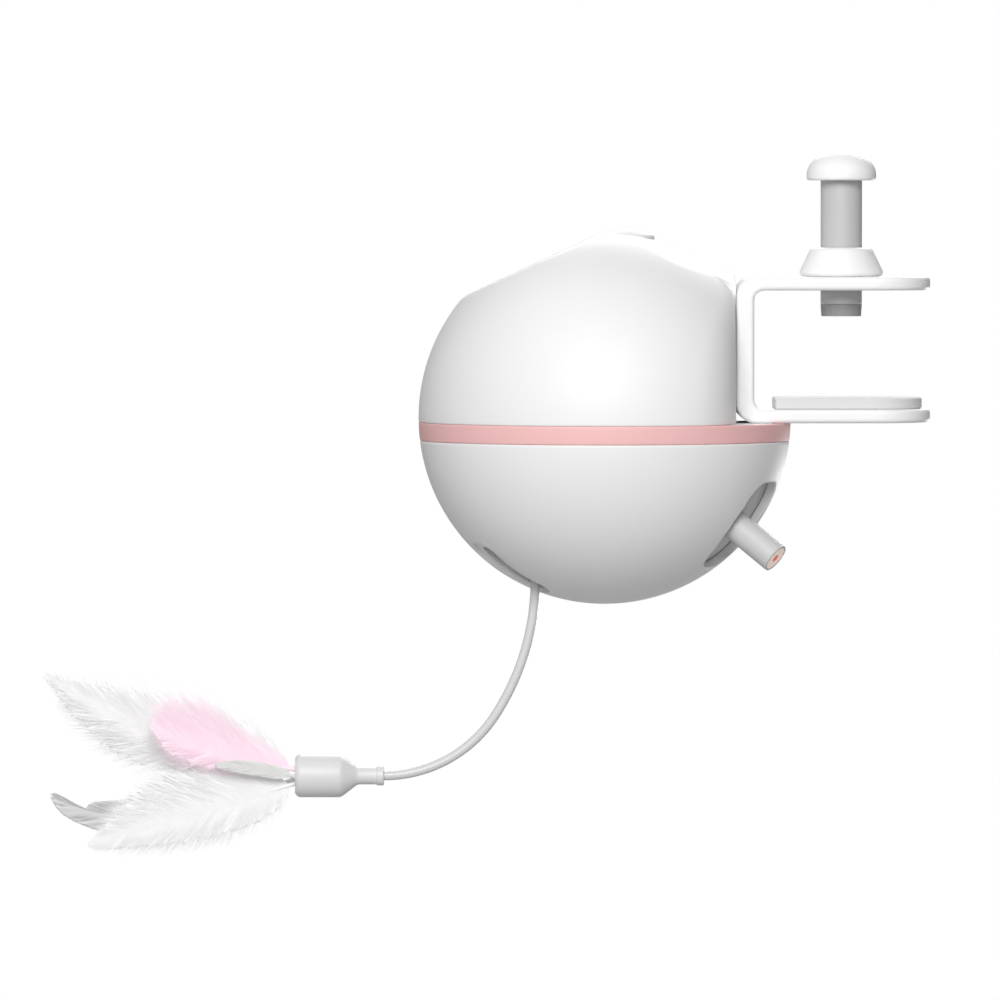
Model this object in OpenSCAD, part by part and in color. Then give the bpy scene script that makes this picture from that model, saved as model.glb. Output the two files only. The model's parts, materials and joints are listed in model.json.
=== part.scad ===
// Automatic cat feather toy: a ball that hangs from a clamp on a board's edge.
// A feather on a springy wire swings in one slot of the ball, and a laser pointer tilts in the other.
// Sizes are in millimetres. Each piece is drawn about the ball's centre, with the clamp towards +X,
// and place() then puts the origin on the clamp's pad, under the screw.

/* [Ball] */
// Diameter of the ball
ball_d = 90; // [88:1:96]
// Wall of the two half shells
wall = 2.2; // [1.8:0.1:2.4]
// Depth of the flat on the clamp side, in from the ball's surface
flat_depth = 13.8; // [13.2:0.1:14.4]
// Rounding from the ball's side into the flat
flat_round = 20; // [16:0.5:21]
// How far the accent band's top lies below the ball's middle
band_drop = 1; // [0.5:0.1:2]
// Height of the accent band
band_h = 4.4; // [3:0.1:6]
// Width of the neck that carries the clamp
neck_w = 24; // [20:0.5:28]
// How far the neck stands out of the flat
neck_l = 0.3; // [0.2:0.1:1]

/* [Crown] */
// Depth of the broad facet on the feather side
front_facet_depth = 4.1; // [3:0.1:5]
// Tilt of the broad facet from level
front_facet_tilt = 24.7; // [22:0.1:27]
// Depth of the twin facets on the clamp side
rear_facet_depth = 1.1; // [0.8:0.1:1.6]
// Tilt of the twin facets from level
rear_facet_tilt = 26.5; // [24:0.5:29]
// Turn of each twin facet from the middle
rear_facet_turn = 25; // [20:1:30]
// Rounding of the facets' rims
facet_round = 3; // [2:0.5:5]

/* [Button] */
// Diameter of the power button
button_d = 13; // [11:0.5:15]
// Place of the button's axis, from the ball's axis towards the clamp
button_x = 5.5; // [4:0.5:7]
// How far the button's top stands over the ball
button_rise = 0.8; // [0.4:0.1:1.2]
// Travel of the button
button_travel = 0.8; // [0.5:0.1:1.2]

/* [Clamp] */
// Height of the clamp's opening between its arms
clamp_gap = 28.6; // [24:0.2:36]
// Thickness of the arms
arm_t = 3.3; // [2.8:0.1:4]
// Thickness of the web
web_t = 4.3; // [3.5:0.1:6]
// Reach of the arms from the web's outer face
arm_l = 47.2; // [42:0.2:56]
// Width of the bracket, which is also the diameter of its round ends
bracket_w = 28; // [25:0.5:34]
// Rounding of the bracket's outer corners
bracket_round = 4.6; // [4.5:0.1:8]
// Distance from the web's outer face to the screw's axis
screw_reach = 25.7; // [22:0.1:30]
// Thickness of the pad
pad_t = 2.7; // [2:0.1:4]
// Margin between the pad and the arm's edge
pad_margin = 2; // [1:0.1:4]
// Gap between the web and the pad
pad_start = 5.1; // [4:0.1:8]

/* [Screw] */
// Diameter of the clamp screw
screw_d = 10; // [9:0.1:12]
// Travel of one turn of the screw
screw_pitch = 2; // [1:0.25:3]
// Gap between the pad and the screw's foot, as the clamp is stored
foot_gap = 19.6; // [14:0.1:21]
// Height of the swivel foot
foot_h = 2.7; // [2.2:0.1:3.4]
// Diameter of the screw's pin inside the foot
foot_pin_d = 5; // [4:0.1:6]
// Length of the screw from its foot to its knob
screw_l = 31.4; // [29:0.2:34]
// Diameter of the collar's base
collar_d = 20.2; // [18:0.2:26]
// Diameter of the collar's top
collar_top_d = 15.8; // [14:0.2:17]
// Height of the collar
collar_h = 7; // [5:0.2:8]
// Diameter of the knob
knob_d = 16.8; // [15:0.2:22]
// Height of the knob
knob_h = 7.2; // [6.5:0.1:9]
// Height of the knob's straight skirt
knob_skirt = 1.4; // [1:0.1:2.5]

/* [Laser] */
// Direction of the laser around the ball, from the clamp
laser_az = -27; // [-32:1:-22]
// Direction of the laser below level
laser_dip = 36; // [34:0.5:38]
// Diameter of the laser tube
tube_d = 7.2; // [6.8:0.1:7.6]
// How far the tube stands out of the ball
tube_proud = 11.5; // [8:0.5:16]
// Swing of the laser each way
laser_swing = 8; // [4:0.5:8]
// Upper end of the laser slot, below level
laser_slot_top = 20; // [19:0.5:22]
// Lower end of the laser slot, below level
laser_slot_end = 53; // [51:0.5:54]
// Width of the laser slot
laser_slot_w = 18.4; // [18:0.1:19]
// Turn of the laser slot's middle from the laser, towards the clamp
laser_slot_turn = 7.2; // [6:0.1:7.5]
// Rounding of the laser slot's corners
laser_slot_corner = 4; // [2:0.5:6]

/* [Feather] */
// Direction of the feather slot around the ball, from the clamp
feather_az = 201; // [196:1:206]
// Upper end of the feather slot, below level
feather_slot_top = 42; // [40:0.5:43]
// Lower end of the feather slot, below level
feather_slot_end = 70; // [69:0.5:72]
// Width of the recess around the feather slot
recess_w = 14.5; // [12:0.1:15.5]
// Depth of the recess
recess_depth = 1.2; // [0.6:0.1:1.4]
// Width of the slot that the wire swings in
wire_slot_w = 5; // [4:0.1:7]
// Diameter of the feather wire
wire_d = 2.2; // [1.8:0.1:2.6]
// Radius of the wire's gentle upper bend
sway_r = 60; // [50:1:70]
// Angle of the upper bend
sway_turn = 33; // [25:1:40]
// Radius of the wire's lower bend
bend_r = 32; // [28:0.5:36]
// Level of the feather socket below the ball's middle
socket_drop = 86.3; // [82:0.1:94]
// Diameter of the socket
socket_d = 10.4; // [9.6:0.1:12]
// Length of the socket's round body
socket_l = 10.3; // [9:0.1:13]
// Length of the socket's cone
socket_cone = 4.4; // [3:0.1:6]
// Diameter of the socket's neck
socket_neck_d = 4.2; // [3.8:0.1:5]
// Length of the socket's neck
socket_neck_l = 6.7; // [5:0.1:9]

/* [Drives] */
// Radius of the toothed sectors, as a share of the ball's radius
sector_share = 0.28; // [0.26:0.005:0.285]
// Teeth of the pinions
pinion_n = 12; // [12:1:12]
// Teeth of the sectors' full circle
sector_n = 36; // [36:1:36]
// Width of the gears
gear_w = 5; // [4:0.5:6]
// Diameter of the axles and motor shafts
axle_d = 3; // [2.5:0.1:3.2]
// Width of a motor
motor_w = 12; // [10:0.5:12]
// Height of a motor
motor_h = 10; // [8:0.5:10]
// Thickness of the inner frame's plate
plate_t = 2; // [1.5:0.1:2.4]
// Level of the inner frame's plate, as a share of the ball's radius
plate_level = 0.5335; // [0.53:0.001:0.54]

/* [Fits] */
// Clearance of a turning or sliding piece
run = 0.3; // [0.2:0.05:0.4]
// Clearance around an axle that turns
axle_run = 0.05; // [0.03:0.01:0.08]
// Clearance of a piece that is set in a pocket
fit = 0.2; // [0.1:0.05:0.3]

/* [Hidden] */
$fn = 192;

// Colours
shell_white = [0.95, 0.95, 0.95];
band_pink = [0.98, 0.74, 0.74];
mid_grey = [0.66, 0.66, 0.67];
pale_grey = [0.86, 0.86, 0.86];
steel = [0.72, 0.73, 0.75];
brass = [0.78, 0.63, 0.33];

// Ball
ball_r = ball_d / 2;
inner_r = ball_r - wall;
band_top = -band_drop;
band_end = band_top - band_h;
flat_x = ball_r - flat_depth;
web_x = flat_x + neck_l;
far = 2 * ball_d;
rim_bite = 0.05;
rim_steps = 4;
flat_steps = 10;
neck_back = 8;
ledge_t = 2;
lip_t = 1.5;
lip_over = 2.5;
lip_under = 4;
over = 1; // cutters run past a face by this much

// Clamp
web_in = web_x + web_t;
arm_end = web_x + arm_l;
arm_top = band_top + arm_t;
upper_arm = arm_top + clamp_gap;
bracket_top = upper_arm + arm_t;
bracket_inner_round = max(bracket_round - web_t / 2, 0.5);
pad_w = bracket_w - 2 * pad_margin;
pad_x = web_in + pad_start;
pad_end = arm_end - pad_margin;
pad_top = arm_top + pad_t;
screw_x = web_x + screw_reach;

// Screw
foot_z = pad_top + foot_gap;
screw_z = foot_z + foot_h + run;
screw_end = screw_z + screw_l;
foot_taper = 0.2;
foot_floor = 0.8;
knob_over = 1.6;
knob_rim_z = screw_end - knob_over;
knob_wall = 1.3;
knob_edge = 0.4;
dome_steps = 16;
collar_foot_round = 1;
collar_top_round = 1.6;
collar_lean = 20;

// Button, board and battery
button_top = ball_r + button_rise;
button_crown = 1.7;
button_rim = button_top - button_crown;
button_flange = 1.5;
button_flange_d = button_d + 2 * button_flange;
button_flange_t = 1.2;
button_skirt = 4.2;
button_flange_top = button_rim - button_skirt;
board_pad = 1.5;
board_foot = 4;
board_t = 1.6;
plate_z = plate_level * ball_r;
plate_edge = 4;
plate_r = sqrt(pow(inner_r, 2) - pow(plate_z + plate_t, 2)) - plate_edge;
deck_share = 0.7;
deck_over = 2;
deck_w = plate_r + deck_over;
board_start = -1;
board_end = deck_share * plate_r;
board_z = plate_z + plate_t + board_pad;
board_top = board_z + board_t;
switch_w = 6;
switch_h = 3.5;
plunger_d = 3.4;
plunger_h = 0.8;
plunger_gap = 0.1;
switch_top = board_top + switch_h + plunger_h;
cell_start = -deck_share * plate_r;
cell_end = -3;
cell_share = 0.122;
cell_t = cell_share * ball_r;
port_x = -4;
port_z = 7;
port_w = 9;
port_h = 3.2;
port_l = 7.5;
port_wall = 1.8;
port_inset = 0.6;
port_skin = 0.35;
port_floor = 1;
tongue_t = 0.8;
tongue_gap = 0.4;
tongue_sink = 2;

// Screws
post_inset = 3.95;
post_ring = plate_r - post_inset;
post_places = [for (a = [-57.5, -122.5, 90]) post_ring * [cos(a), sin(a)]];
post_d = 6;
frame_screw_d = 2.4;
frame_head_d = 4.6;
frame_head_h = 1.8;
frame_screw_in = 6;
bracket_screw_places = [[-7, 8], [7, 8], [-7, 18], [7, 18]];
bracket_screw_d = 2.9;
bracket_head_d = 5.4;
bracket_head_h = 2;
bracket_screw_in = 3;

// Gears and drives
sector_r = sector_share * ball_r;
gear_m = 2 * sector_r / sector_n;
pressure = 20;
backlash = 0.16;
tooth_out = 0.75 * gear_m;
tooth_in = 1.15 * gear_m;
centre_slack = 0.06;
pinion_r = gear_m * pinion_n / 2;
gear_gap = pinion_r + sector_r + centre_slack;
sector_margin = 16;
hub_d = 9;
hub_side = 2.8;
hub_w = gear_w + 2 * hub_side;
cheek_in = hub_w / 2 + run;
cheek_t = 2;
cheek_w = 10;
cheek_out = cheek_in + cheek_t;
bridge_t = 2;
gearbox_l = 8;
motor_share = 0.44;
motor_l = motor_share * ball_r;
can_d = motor_h;
boss_d = 4.4;
shaft_in = 4;
pinion_z = gear_gap;

// Laser
tube_in = 8;
tube_end = ball_r + tube_proud;
carrier_end = 19;
carrier_d = tube_d + 3;
module_d = tube_d - 1.6;
module_l = 15;
window_d = tube_d - 1.1;
window_t = 1.2;
aperture_d = 2;
shutter_gap = 0.5;
shutter_t = 1.6;
shutter_r = inner_r - shutter_gap;
shutter_over = 2;
shutter_side = laser_slot_w / 2 + shutter_over;
shutter_y = inner_r * cos(laser_dip) * sin(laser_slot_turn);
shutter_lap_top = 6;
shutter_lap_end = 2;
shutter_top = laser_slot_top - shutter_lap_top;
shutter_end = laser_slot_end + laser_swing + shutter_lap_end;

// Feather arm, wire and socket
feather_swing = 20;
pivot_share = 0.4;
pivot_r = pivot_share * ball_r;
pivot_drop = 4;
pivot_z = -pivot_drop;
arm_d = 7;
arm_share = 0.58;
arm_drop = arm_share * ball_r;
arm_bottom = pivot_z - arm_drop;
wire_in = 12;
wire_x = pivot_r * cos(feather_az);
wire_y = pivot_r * sin(feather_az);
bend_z = bend_r - socket_drop;
sway_z = bend_z + (sway_r - bend_r) * sin(sway_turn);
sway_x = wire_x - sway_r;
bend_x = sway_x + (sway_r - bend_r) * cos(sway_turn);
socket_x = bend_x;
recess_corner = 6;
wire_slot_corner = 2.4;
wire_slot_top = feather_slot_top + 3;
wire_slot_end = feather_slot_end - 1;
wire_tail = 8;
wire_lap = 0.5;
sway_lap = 0.5;
wire_step = 0.02;
mouth_x = socket_x - socket_neck_l - socket_cone - socket_l;
socket_wall = 1;
plug_d = socket_d - 2 * socket_wall;
plug_l = 6;
set_screw_d = 2;
set_screw_sink = 0.3;
set_screw_z = arm_bottom + 6;
socket_round = 1.2;
socket_neck_edge = 0.3;
quill_r = 0.6;
quill_flat = 0.8;
quill_in = 5;
vane_t = 0.5;
tip_t = 0.25;
tip_from = 0.98;
tip_cut = 0.3;
vane_steps = 24;
vane_sides = 8;
vane_cup = 0.9;

// Quill place [y, up], control and tip [out, up], spread, half width, shift of the widest place towards
// the tip and sharpness of each feather, all measured from the centre of the socket's mouth
upper_white = [[1.0, 1.9], [30, 3.5], [61, 24.5], 0.06, 11.5, 0.85, 0.5];
pink = [[-1.6, 1.6], [18, 4], [36.5, 13], -0.10, 9.5, 2.2, 0.8];
lower_white = [[-0.9, -1.8], [25, -9.5], [51, -16.5], -0.03, 10, 0.9, 0.5];
grey = [[2.4, -0.8], [40, -17], [59.5, -5.6], 0.12, 3.6, 0.9, 0.6];
covert = [[-3.1, 0], [9, 2], [19, 2.6], -0.13, 1.9, 0.9, 0.5];

// Moves the origin from the ball's centre to the pad, under the screw
module place() {
    translate([-screw_x, 0, -pad_top]) children();
}

// Frames of the two drives: X points outwards, Y runs along the pivot
module laser_frame() {
    rotate([0, 0, laser_az]) children();
}

module feather_frame() {
    rotate([0, 0, feather_az]) translate([pivot_r, 0, pivot_z]) children();
}

// Cylinder along Y, centred
module cross(d, l) {
    rotate([90, 0, 0]) cylinder(d = d, h = l, center = true);
}

// Cutter for a flat on a ball of radius r, at distance d along Z, with a rounded rim
module flat_cutter(r, d, round) {
    rim = sqrt(pow(r - rim_bite - round, 2) - pow(d - round, 2));
    lean = atan2(rim, d - round);
    arc = [for (i = [0:rim_steps]) let (a = lean * i / rim_steps)
        [rim + round * sin(a), d - round + round * cos(a)]];
    skirt = arc[rim_steps] + r * [cos(lean), -sin(lean)];
    rotate_extrude() polygon(concat([[0, 2 * r], [0, d]], arc, [skirt, [skirt[0], 2 * r]]));
}

// Cuts the crown's facets and the flat at the clamp, with rounded rims
module faceted() {
    difference() {
        difference() {
            difference() {
                children();
                rotate([0, front_facet_tilt, 180])
                    flat_cutter(ball_r, ball_r - front_facet_depth, facet_round);
            }
            for (side = [-1, 1])
                rotate([0, rear_facet_tilt, side * rear_facet_turn])
                    flat_cutter(ball_r, ball_r - rear_facet_depth, facet_round);
        }
        clamp_side(0);
    }
}

// Everything beyond the flat at the clamp, which the ball's side runs into in a wide arc
module clamp_side(inset) {
    r = flat_round - inset;
    x = flat_x - flat_round;
    y = sqrt(pow(ball_r - rim_bite - flat_round, 2) - pow(x, 2));
    lean = atan2(y, x);
    arc = [for (i = [0:flat_steps]) let (a = lean * i / flat_steps) [x + r * cos(a), y + r * sin(a)]];
    skirt = arc[flat_steps] + ball_r * [-sin(lean), cos(lean)];
    half = concat(arc, [skirt, [far, skirt[1]]]);
    other = [for (i = [len(half) - 1:-1:0]) [half[i][0], -half[i][1]]];
    translate([0, 0, -far / 2]) linear_extrude(far) polygon(concat(half, other));
}

// Everything beyond a plane at distance d along Z
module beyond(d) {
    translate([0, 0, d]) cylinder(r = ball_d, h = ball_d);
}

module twin_planes(inset) {
    for (side = [-1, 1])
        rotate([0, rear_facet_tilt, side * rear_facet_turn]) beyond(ball_r - rear_facet_depth - inset);
}

// The ball's inside, which follows the facets and the flat at a distance
module hollow(inset) {
    difference() {
        sphere(ball_r - inset);
        rotate([0, front_facet_tilt, 180]) beyond(ball_r - front_facet_depth - inset);
        twin_planes(inset);
        clamp_side(inset);
    }
}

// Everything above the band's top
module upper_half() {
    intersection() {
        sphere(ball_r);
        translate([-far / 2, -far / 2, band_top]) cube([far, far, far]);
    }
}

// Block from x0 to x1 and z0 to z1, with its two corners at x0 rounded
module left_rounded(x0, x1, z0, z1, r, w) {
    translate([x0 + r, -w / 2, z0]) cube([x1 - x0 - r, w, z1 - z0]);
    translate([x0, -w / 2, z0 + r]) cube([r, w, z1 - z0 - 2 * r]);
    for (z = [z0 + r, z1 - r])
        translate([x0 + r, 0, z]) cross(2 * r, w);
}

// Slot w wide with rounded corners, between two angles below level
module slot_cutter(top, end, w, corner) {
    x = ball_r * sin((end - top) / 2) - corner;
    y = w / 2 - corner;
    rotate([0, 90 + (top + end) / 2, 0]) linear_extrude(ball_d) polygon(concat(
        arc_points(x, y, corner, 0, 90),
        arc_points(-x, y, corner, 90, 180),
        arc_points(-x, -y, corner, 180, 270),
        arc_points(x, -y, corner, 270, 360)
    ));
}

// Half of a tooth's angle at radius r, for a gear of n teeth
function spread(a) = tan(a) * 180 / PI - a;
function half_tooth(r, n) =
    let (pitch = gear_m * n / 2, base = pitch * cos(pressure), a = r > base ? acos(base / r) : 0)
    90 / n - backlash / 2 / pitch * 180 / PI + spread(pressure) - spread(a);
function tooth_radii(n) =
    let (pitch = gear_m * n / 2, root = pitch - tooth_in, tip = pitch + tooth_out, steps = 4,
        start = max(root + 0.05, pitch * cos(pressure)))
    concat([root], [for (i = [0:steps]) start + (tip - start) * i / steps]);
function tooth(n, at) =
    let (radii = tooth_radii(n), last = len(radii) - 1)
    concat(
        [for (i = [0:last]) let (a = at - half_tooth(radii[i], n)) radii[i] * [sin(a), cos(a)]],
        [for (i = [last:-1:0]) let (a = at + half_tooth(radii[i], n)) radii[i] * [sin(a), cos(a)]]
    );

// Pinion on the axis Y, with a gap between its teeth facing down
module pinion_gear() {
    difference() {
        rotate([90, 0, 0]) linear_extrude(gear_w, center = true)
            polygon([for (k = [0:pinion_n - 1]) each tooth(pinion_n, 180 + (k + 0.5) * 360 / pinion_n)]);
        cross(axle_d, 2 * gear_w);
    }
}

// Toothed sector on the axis Y, with a tooth facing up, from one angle to another
module gear_sector(from, to) {
    step = 360 / sector_n;
    teeth = [ceil(from / step):floor(to / step)];
    rotate([90, 0, 0]) linear_extrude(gear_w, center = true)
        polygon(concat([[0, 0]], [for (k = teeth) each tooth(sector_n, k * step)]));
}

// Two cheeks that hold a pivot at the frame's origin, up to a level
module yoke(top) {
    for (side = [-1, 1]) translate([0, side * (cheek_in + cheek_t / 2), 0]) {
        cross(cheek_w, cheek_t);
        translate([-cheek_w / 2, -cheek_t / 2, 0]) cube([cheek_w, cheek_t, top]);
    }
    translate([-cheek_w / 2, -cheek_out, top - bridge_t - plate_t / 2])
        cube([cheek_w, 2 * cheek_out, bridge_t]);
}

module yoke_holes() {
    cross(axle_d, far);
    translate([0, 0, pinion_z]) cross(boss_d + 2 * fit, far);
}

// Small gear motor on a cheek, along side * Y, with its shaft at the pinion
module gear_motor(side) {
    translate([0, side * cheek_out, pinion_z]) rotate([side < 0 ? 90 : -90, 0, 0]) difference() {
        union() {
            translate([-motor_w / 2, -motor_h / 2, 0]) cube([motor_w, motor_h, gearbox_l]);
            intersection() {
                translate([0, 0, gearbox_l]) cylinder(d = motor_w, h = motor_l - gearbox_l);
                translate([-motor_w / 2, -can_d / 2, 0]) cube([motor_w, can_d, motor_l]);
            }
            translate([0, 0, -cheek_t]) cylinder(d = boss_d, h = cheek_t);
        }
        translate([0, 0, -cheek_t - over]) cylinder(d = axle_d + 2 * axle_run, h = cheek_t + over + shaft_in);
    }
}

// Motor shaft, from inside the motor to the pinion's far face
module motor_shaft(side) {
    from = -gear_w / 2;
    to = cheek_out + shaft_in - run;
    translate([0, side * (from + to) / 2, pinion_z]) cross(axle_d, to - from);
}

module pivot_axle() {
    cross(axle_d, 2 * cheek_out);
}

module hub() {
    cross(hub_d, hub_w);
}

module upper_shell() {
    color(shell_white) difference() {
        union() {
            difference() {
                faceted() upper_half();
                hollow(wall);
            }
            neck();
            ledge();
            posts();
            port_boss();
        }
        translate([button_x, 0, plate_z]) cylinder(d = button_d + 2 * run, h = ball_d);
        for (p = bracket_screw_places)
            translate([flat_x - wall - over, p[0], p[1]]) rotate([0, 90, 0])
                cylinder(d = bracket_screw_d + 2 * fit, h = flat_depth);
        for (p = post_places)
            translate([p[0], p[1], plate_z]) cylinder(d = frame_screw_d, h = plate_t + frame_screw_in);
        port_shape(fit, ball_r);
    }
}

// Bridge from the flat to the clamp, under the twin facets
module neck() {
    difference() {
        translate([flat_x - neck_back, -neck_w / 2, band_top]) cube([neck_back + neck_l, neck_w, ball_r]);
        twin_planes(0);
        hollow(wall);
    }
}

// Floor under the clamp's lower arm, inside the band
module ledge() {
    intersection() {
        translate([0, 0, band_top - ledge_t]) cylinder(r = inner_r - fit, h = ledge_t);
        clamp_side(wall);
    }
}

// Posts that the inner frame is screwed to
module posts() {
    intersection() {
        for (p = post_places)
            translate([p[0], p[1], plate_z + plate_t]) cylinder(d = post_d, h = ball_r);
        hollow(wall / 2);
    }
}

// Sleeve behind the wall that holds the charge port
module port_boss() {
    w = port_w + 2 * port_wall;
    h = port_h + 2 * port_wall;
    intersection() {
        translate([port_x - w / 2, inner_r - port_l - over, port_z - h / 2]) cube([w, ball_r, h]);
        sphere(ball_r - wall / 2);
    }
}

// Outline of the port's metal sleeve, grown by a clearance, up to y
module port_shape(grow, y) {
    r = port_h / 2 + grow;
    from = inner_r - port_l - (grow > 0 ? 2 * over : 0);
    translate([port_x, 0, port_z]) rotate([-90, 0, 0]) {
        for (side = [-1, 1])
            translate([side * (port_w - port_h) / 2, 0, from]) cylinder(r = r, h = y - from);
        translate([-(port_w - port_h) / 2, -r, from]) cube([port_w - port_h, 2 * r, y - from]);
    }
}

module charge_port() {
    tongue_w = port_w - port_h - tongue_gap;
    floor_y = inner_r - port_l + port_floor;
    y_end = sqrt(pow(ball_r, 2) - pow(port_z, 2) - pow(abs(port_x) + port_w / 2, 2)) - port_inset;
    color(steel) difference() {
        port_shape(0, y_end);
        translate([0, floor_y, 0]) difference() {
            port_shape(-port_skin, ball_r);
            translate([port_x - tongue_w / 2, 0, port_z - tongue_t / 2])
                cube([tongue_w, y_end - tongue_sink - floor_y, tongue_t]);
        }
    }
}

module accent_band() {
    color(band_pink) difference() {
        intersection() {
            sphere(ball_r);
            translate([0, 0, band_end]) cylinder(r = ball_r + over, h = band_h);
        }
        translate([0, 0, band_end - over]) cylinder(r = inner_r, h = band_h + 2 * over);
    }
}

module lower_shell() {
    color(shell_white) difference() {
        union() {
            difference() {
                intersection() {
                    sphere(ball_r);
                    translate([-far / 2, -far / 2, band_end - far]) cube([far, far, far]);
                }
                sphere(inner_r);
            }
            lip();
        }
        rotate([0, 0, laser_az + laser_slot_turn])
            slot_cutter(laser_slot_top, laser_slot_end, laser_slot_w, laser_slot_corner);
        rotate([0, 0, feather_az]) feather_recess();
        rotate([0, 0, feather_az]) slot_cutter(wire_slot_top, wire_slot_end, wire_slot_w, wire_slot_corner);
    }
}

// Shallow recess around the slot that the wire swings in
module feather_recess() {
    difference() {
        slot_cutter(feather_slot_top, feather_slot_end, recess_w, recess_corner);
        sphere(ball_r - recess_depth);
    }
}

// Ring inside the joint that lines up the shells, open at the ledge and at the shutter
module lip() {
    difference() {
        translate([0, 0, band_end - lip_under])
            cylinder(r = inner_r - fit, h = band_h + lip_under + lip_over);
        translate([0, 0, band_end - lip_under - over])
            cylinder(r = inner_r - fit - lip_t, h = band_h + lip_under + lip_over + 2 * over);
        intersection() {
            clamp_side(wall + run);
            translate([0, -far / 2, band_end]) cube([far, far, far]);
        }
        laser_frame() translate([0, shutter_y - shutter_side - run, -far / 2])
            cube([far, 2 * (shutter_side + run), far]);
    }
}

module clamp_bracket() {
    color(shell_white) difference() {
        intersection() {
            difference() {
                left_rounded(web_x, arm_end, band_top, bracket_top, bracket_round, bracket_w);
                left_rounded(web_in, arm_end + over, arm_top, upper_arm,
                    bracket_inner_round, bracket_w + 2 * over);
            }
            union() {
                translate([web_x, -bracket_w / 2, band_top])
                    cube([arm_l - bracket_w / 2, bracket_w, bracket_top - band_top]);
                translate([arm_end - bracket_w / 2, 0, band_top])
                    cylinder(d = bracket_w, h = bracket_top - band_top);
            }
        }
        translate([screw_x, 0, upper_arm - over]) cylinder(d = screw_d + 2 * run, h = arm_t + 2 * over);
        for (p = bracket_screw_places)
            translate([web_x - over, p[0], p[1]]) rotate([0, 90, 0])
                cylinder(d = bracket_screw_d, h = over + bracket_screw_in);
    }
}

module clamp_pad() {
    color(mid_grey) {
        translate([pad_x, -pad_w / 2, arm_top]) cube([pad_end - pad_w / 2 - pad_x, pad_w, pad_t]);
        translate([pad_end - pad_w / 2, 0, arm_top]) cylinder(d = pad_w, h = pad_t);
    }
}

// Quarter arc of radius r about [x, y], from angle a to b
function arc_points(x, y, r, a, b, n = 6) =
    [for (i = [0:n]) let (t = a + (b - a) * i / n) [x + r * cos(t), y + r * sin(t)]];

module clamp_collar() {
    bore = screw_d / 2 + run;
    color(shell_white) translate([screw_x, 0, bracket_top]) rotate_extrude() polygon(concat(
        [[bore, 0]],
        arc_points(collar_d / 2 - collar_foot_round, collar_foot_round,
            collar_foot_round, -90, collar_lean),
        arc_points(collar_top_d / 2 - collar_top_round, collar_h - collar_top_round,
            collar_top_round, collar_lean, 90),
        [[bore, collar_h]]
    ));
}

module clamp_screw() {
    color(mid_grey) translate([screw_x, 0, 0]) {
        translate([0, 0, screw_z]) cylinder(d = screw_d, h = screw_l);
        translate([0, 0, foot_z + foot_floor + run])
            cylinder(d = foot_pin_d, h = screw_z - foot_z - foot_floor);
    }
}

module screw_foot() {
    color(mid_grey) translate([screw_x, 0, foot_z]) difference() {
        cylinder(d1 = screw_d - 2 * foot_taper, d2 = screw_d, h = foot_h);
        translate([0, 0, foot_floor]) cylinder(d = foot_pin_d + 2 * run, h = foot_h);
    }
}

// Mushroom knob with an oval top and a hollow under its rim
module clamp_knob() {
    r = knob_d / 2;
    dome_h = knob_h - knob_skirt;
    roof = screw_end - knob_rim_z;
    color(shell_white) translate([screw_x, 0, knob_rim_z]) rotate_extrude() polygon(concat(
        [[0, roof], [r - 2 * knob_wall, roof], [r - knob_wall, 0], [r - knob_edge, 0], [r, knob_edge]],
        [for (i = [0:dome_steps]) let (a = 90 * i / dome_steps) [r * cos(a), knob_skirt + dome_h * sin(a)]]
    ));
}

module power_button() {
    r = button_d / 2;
    rise = button_top - button_rim;
    stem_z = switch_top + button_travel + plunger_gap;
    flange_z = button_flange_top - button_flange_t;
    dome_r = (r * r + rise * rise) / (2 * rise);
    lean = asin(r / dome_r);
    color(shell_white) translate([button_x, 0, 0]) {
        rotate_extrude() polygon(concat(
            [[0, flange_z], [r, flange_z]],
            arc_points(0, button_top - dome_r, dome_r, 90 - lean, 90, 10)
        ));
        translate([0, 0, flange_z]) cylinder(d = button_flange_d, h = button_flange_t);
        translate([0, 0, stem_z]) cylinder(d = plunger_d, h = button_flange_top - stem_z);
    }
}

module button_switch() {
    color("dimgray") translate([button_x, 0, board_top]) {
        translate([-switch_w / 2, -switch_w / 2, 0]) cube([switch_w, switch_w, switch_h]);
        cylinder(d = plunger_d, h = switch_h + plunger_h);
    }
}

module circuit_board() {
    color("seagreen") translate([board_start, -deck_w / 2, board_z])
        cube([board_end - board_start, deck_w, board_t]);
}

module battery_cell() {
    color("lightsteelblue") translate([cell_start, -deck_w / 2, plate_z + plate_t])
        cube([cell_end - cell_start, deck_w, cell_t]);
}

// Plate with board pads, and the two yokes that hang from it
module inner_frame() {
    color(pale_grey) difference() {
        union() {
            intersection() {
                translate([0, 0, plate_z]) cylinder(r = plate_r, h = plate_t);
                translate([-far, -far / 2, plate_z]) cube([far + flat_x - wall - 2 * run, far, plate_t]);
            }
            for (x = [board_start, board_end - board_foot], y = [-1, 1])
                translate([x, y * (deck_w - board_foot) / 2 - board_foot / 2, plate_z + plate_t])
                    cube([board_foot, board_foot, board_pad]);
            laser_frame() yoke(plate_z + plate_t / 2);
            feather_frame() yoke(plate_z + plate_t / 2 - pivot_z);
        }
        laser_frame() yoke_holes();
        feather_frame() yoke_holes();
        for (p = post_places)
            translate([p[0], p[1], plate_z - over])
                cylinder(d = frame_screw_d + 2 * fit, h = plate_t + 2 * over);
    }
}

module frame_screws() {
    color(steel) for (p = post_places) translate([p[0], p[1], plate_z]) {
        translate([0, 0, -frame_head_h]) cylinder(d = frame_head_d, h = frame_head_h);
        cylinder(d = frame_screw_d, h = plate_t + frame_screw_in);
    }
}

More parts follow.
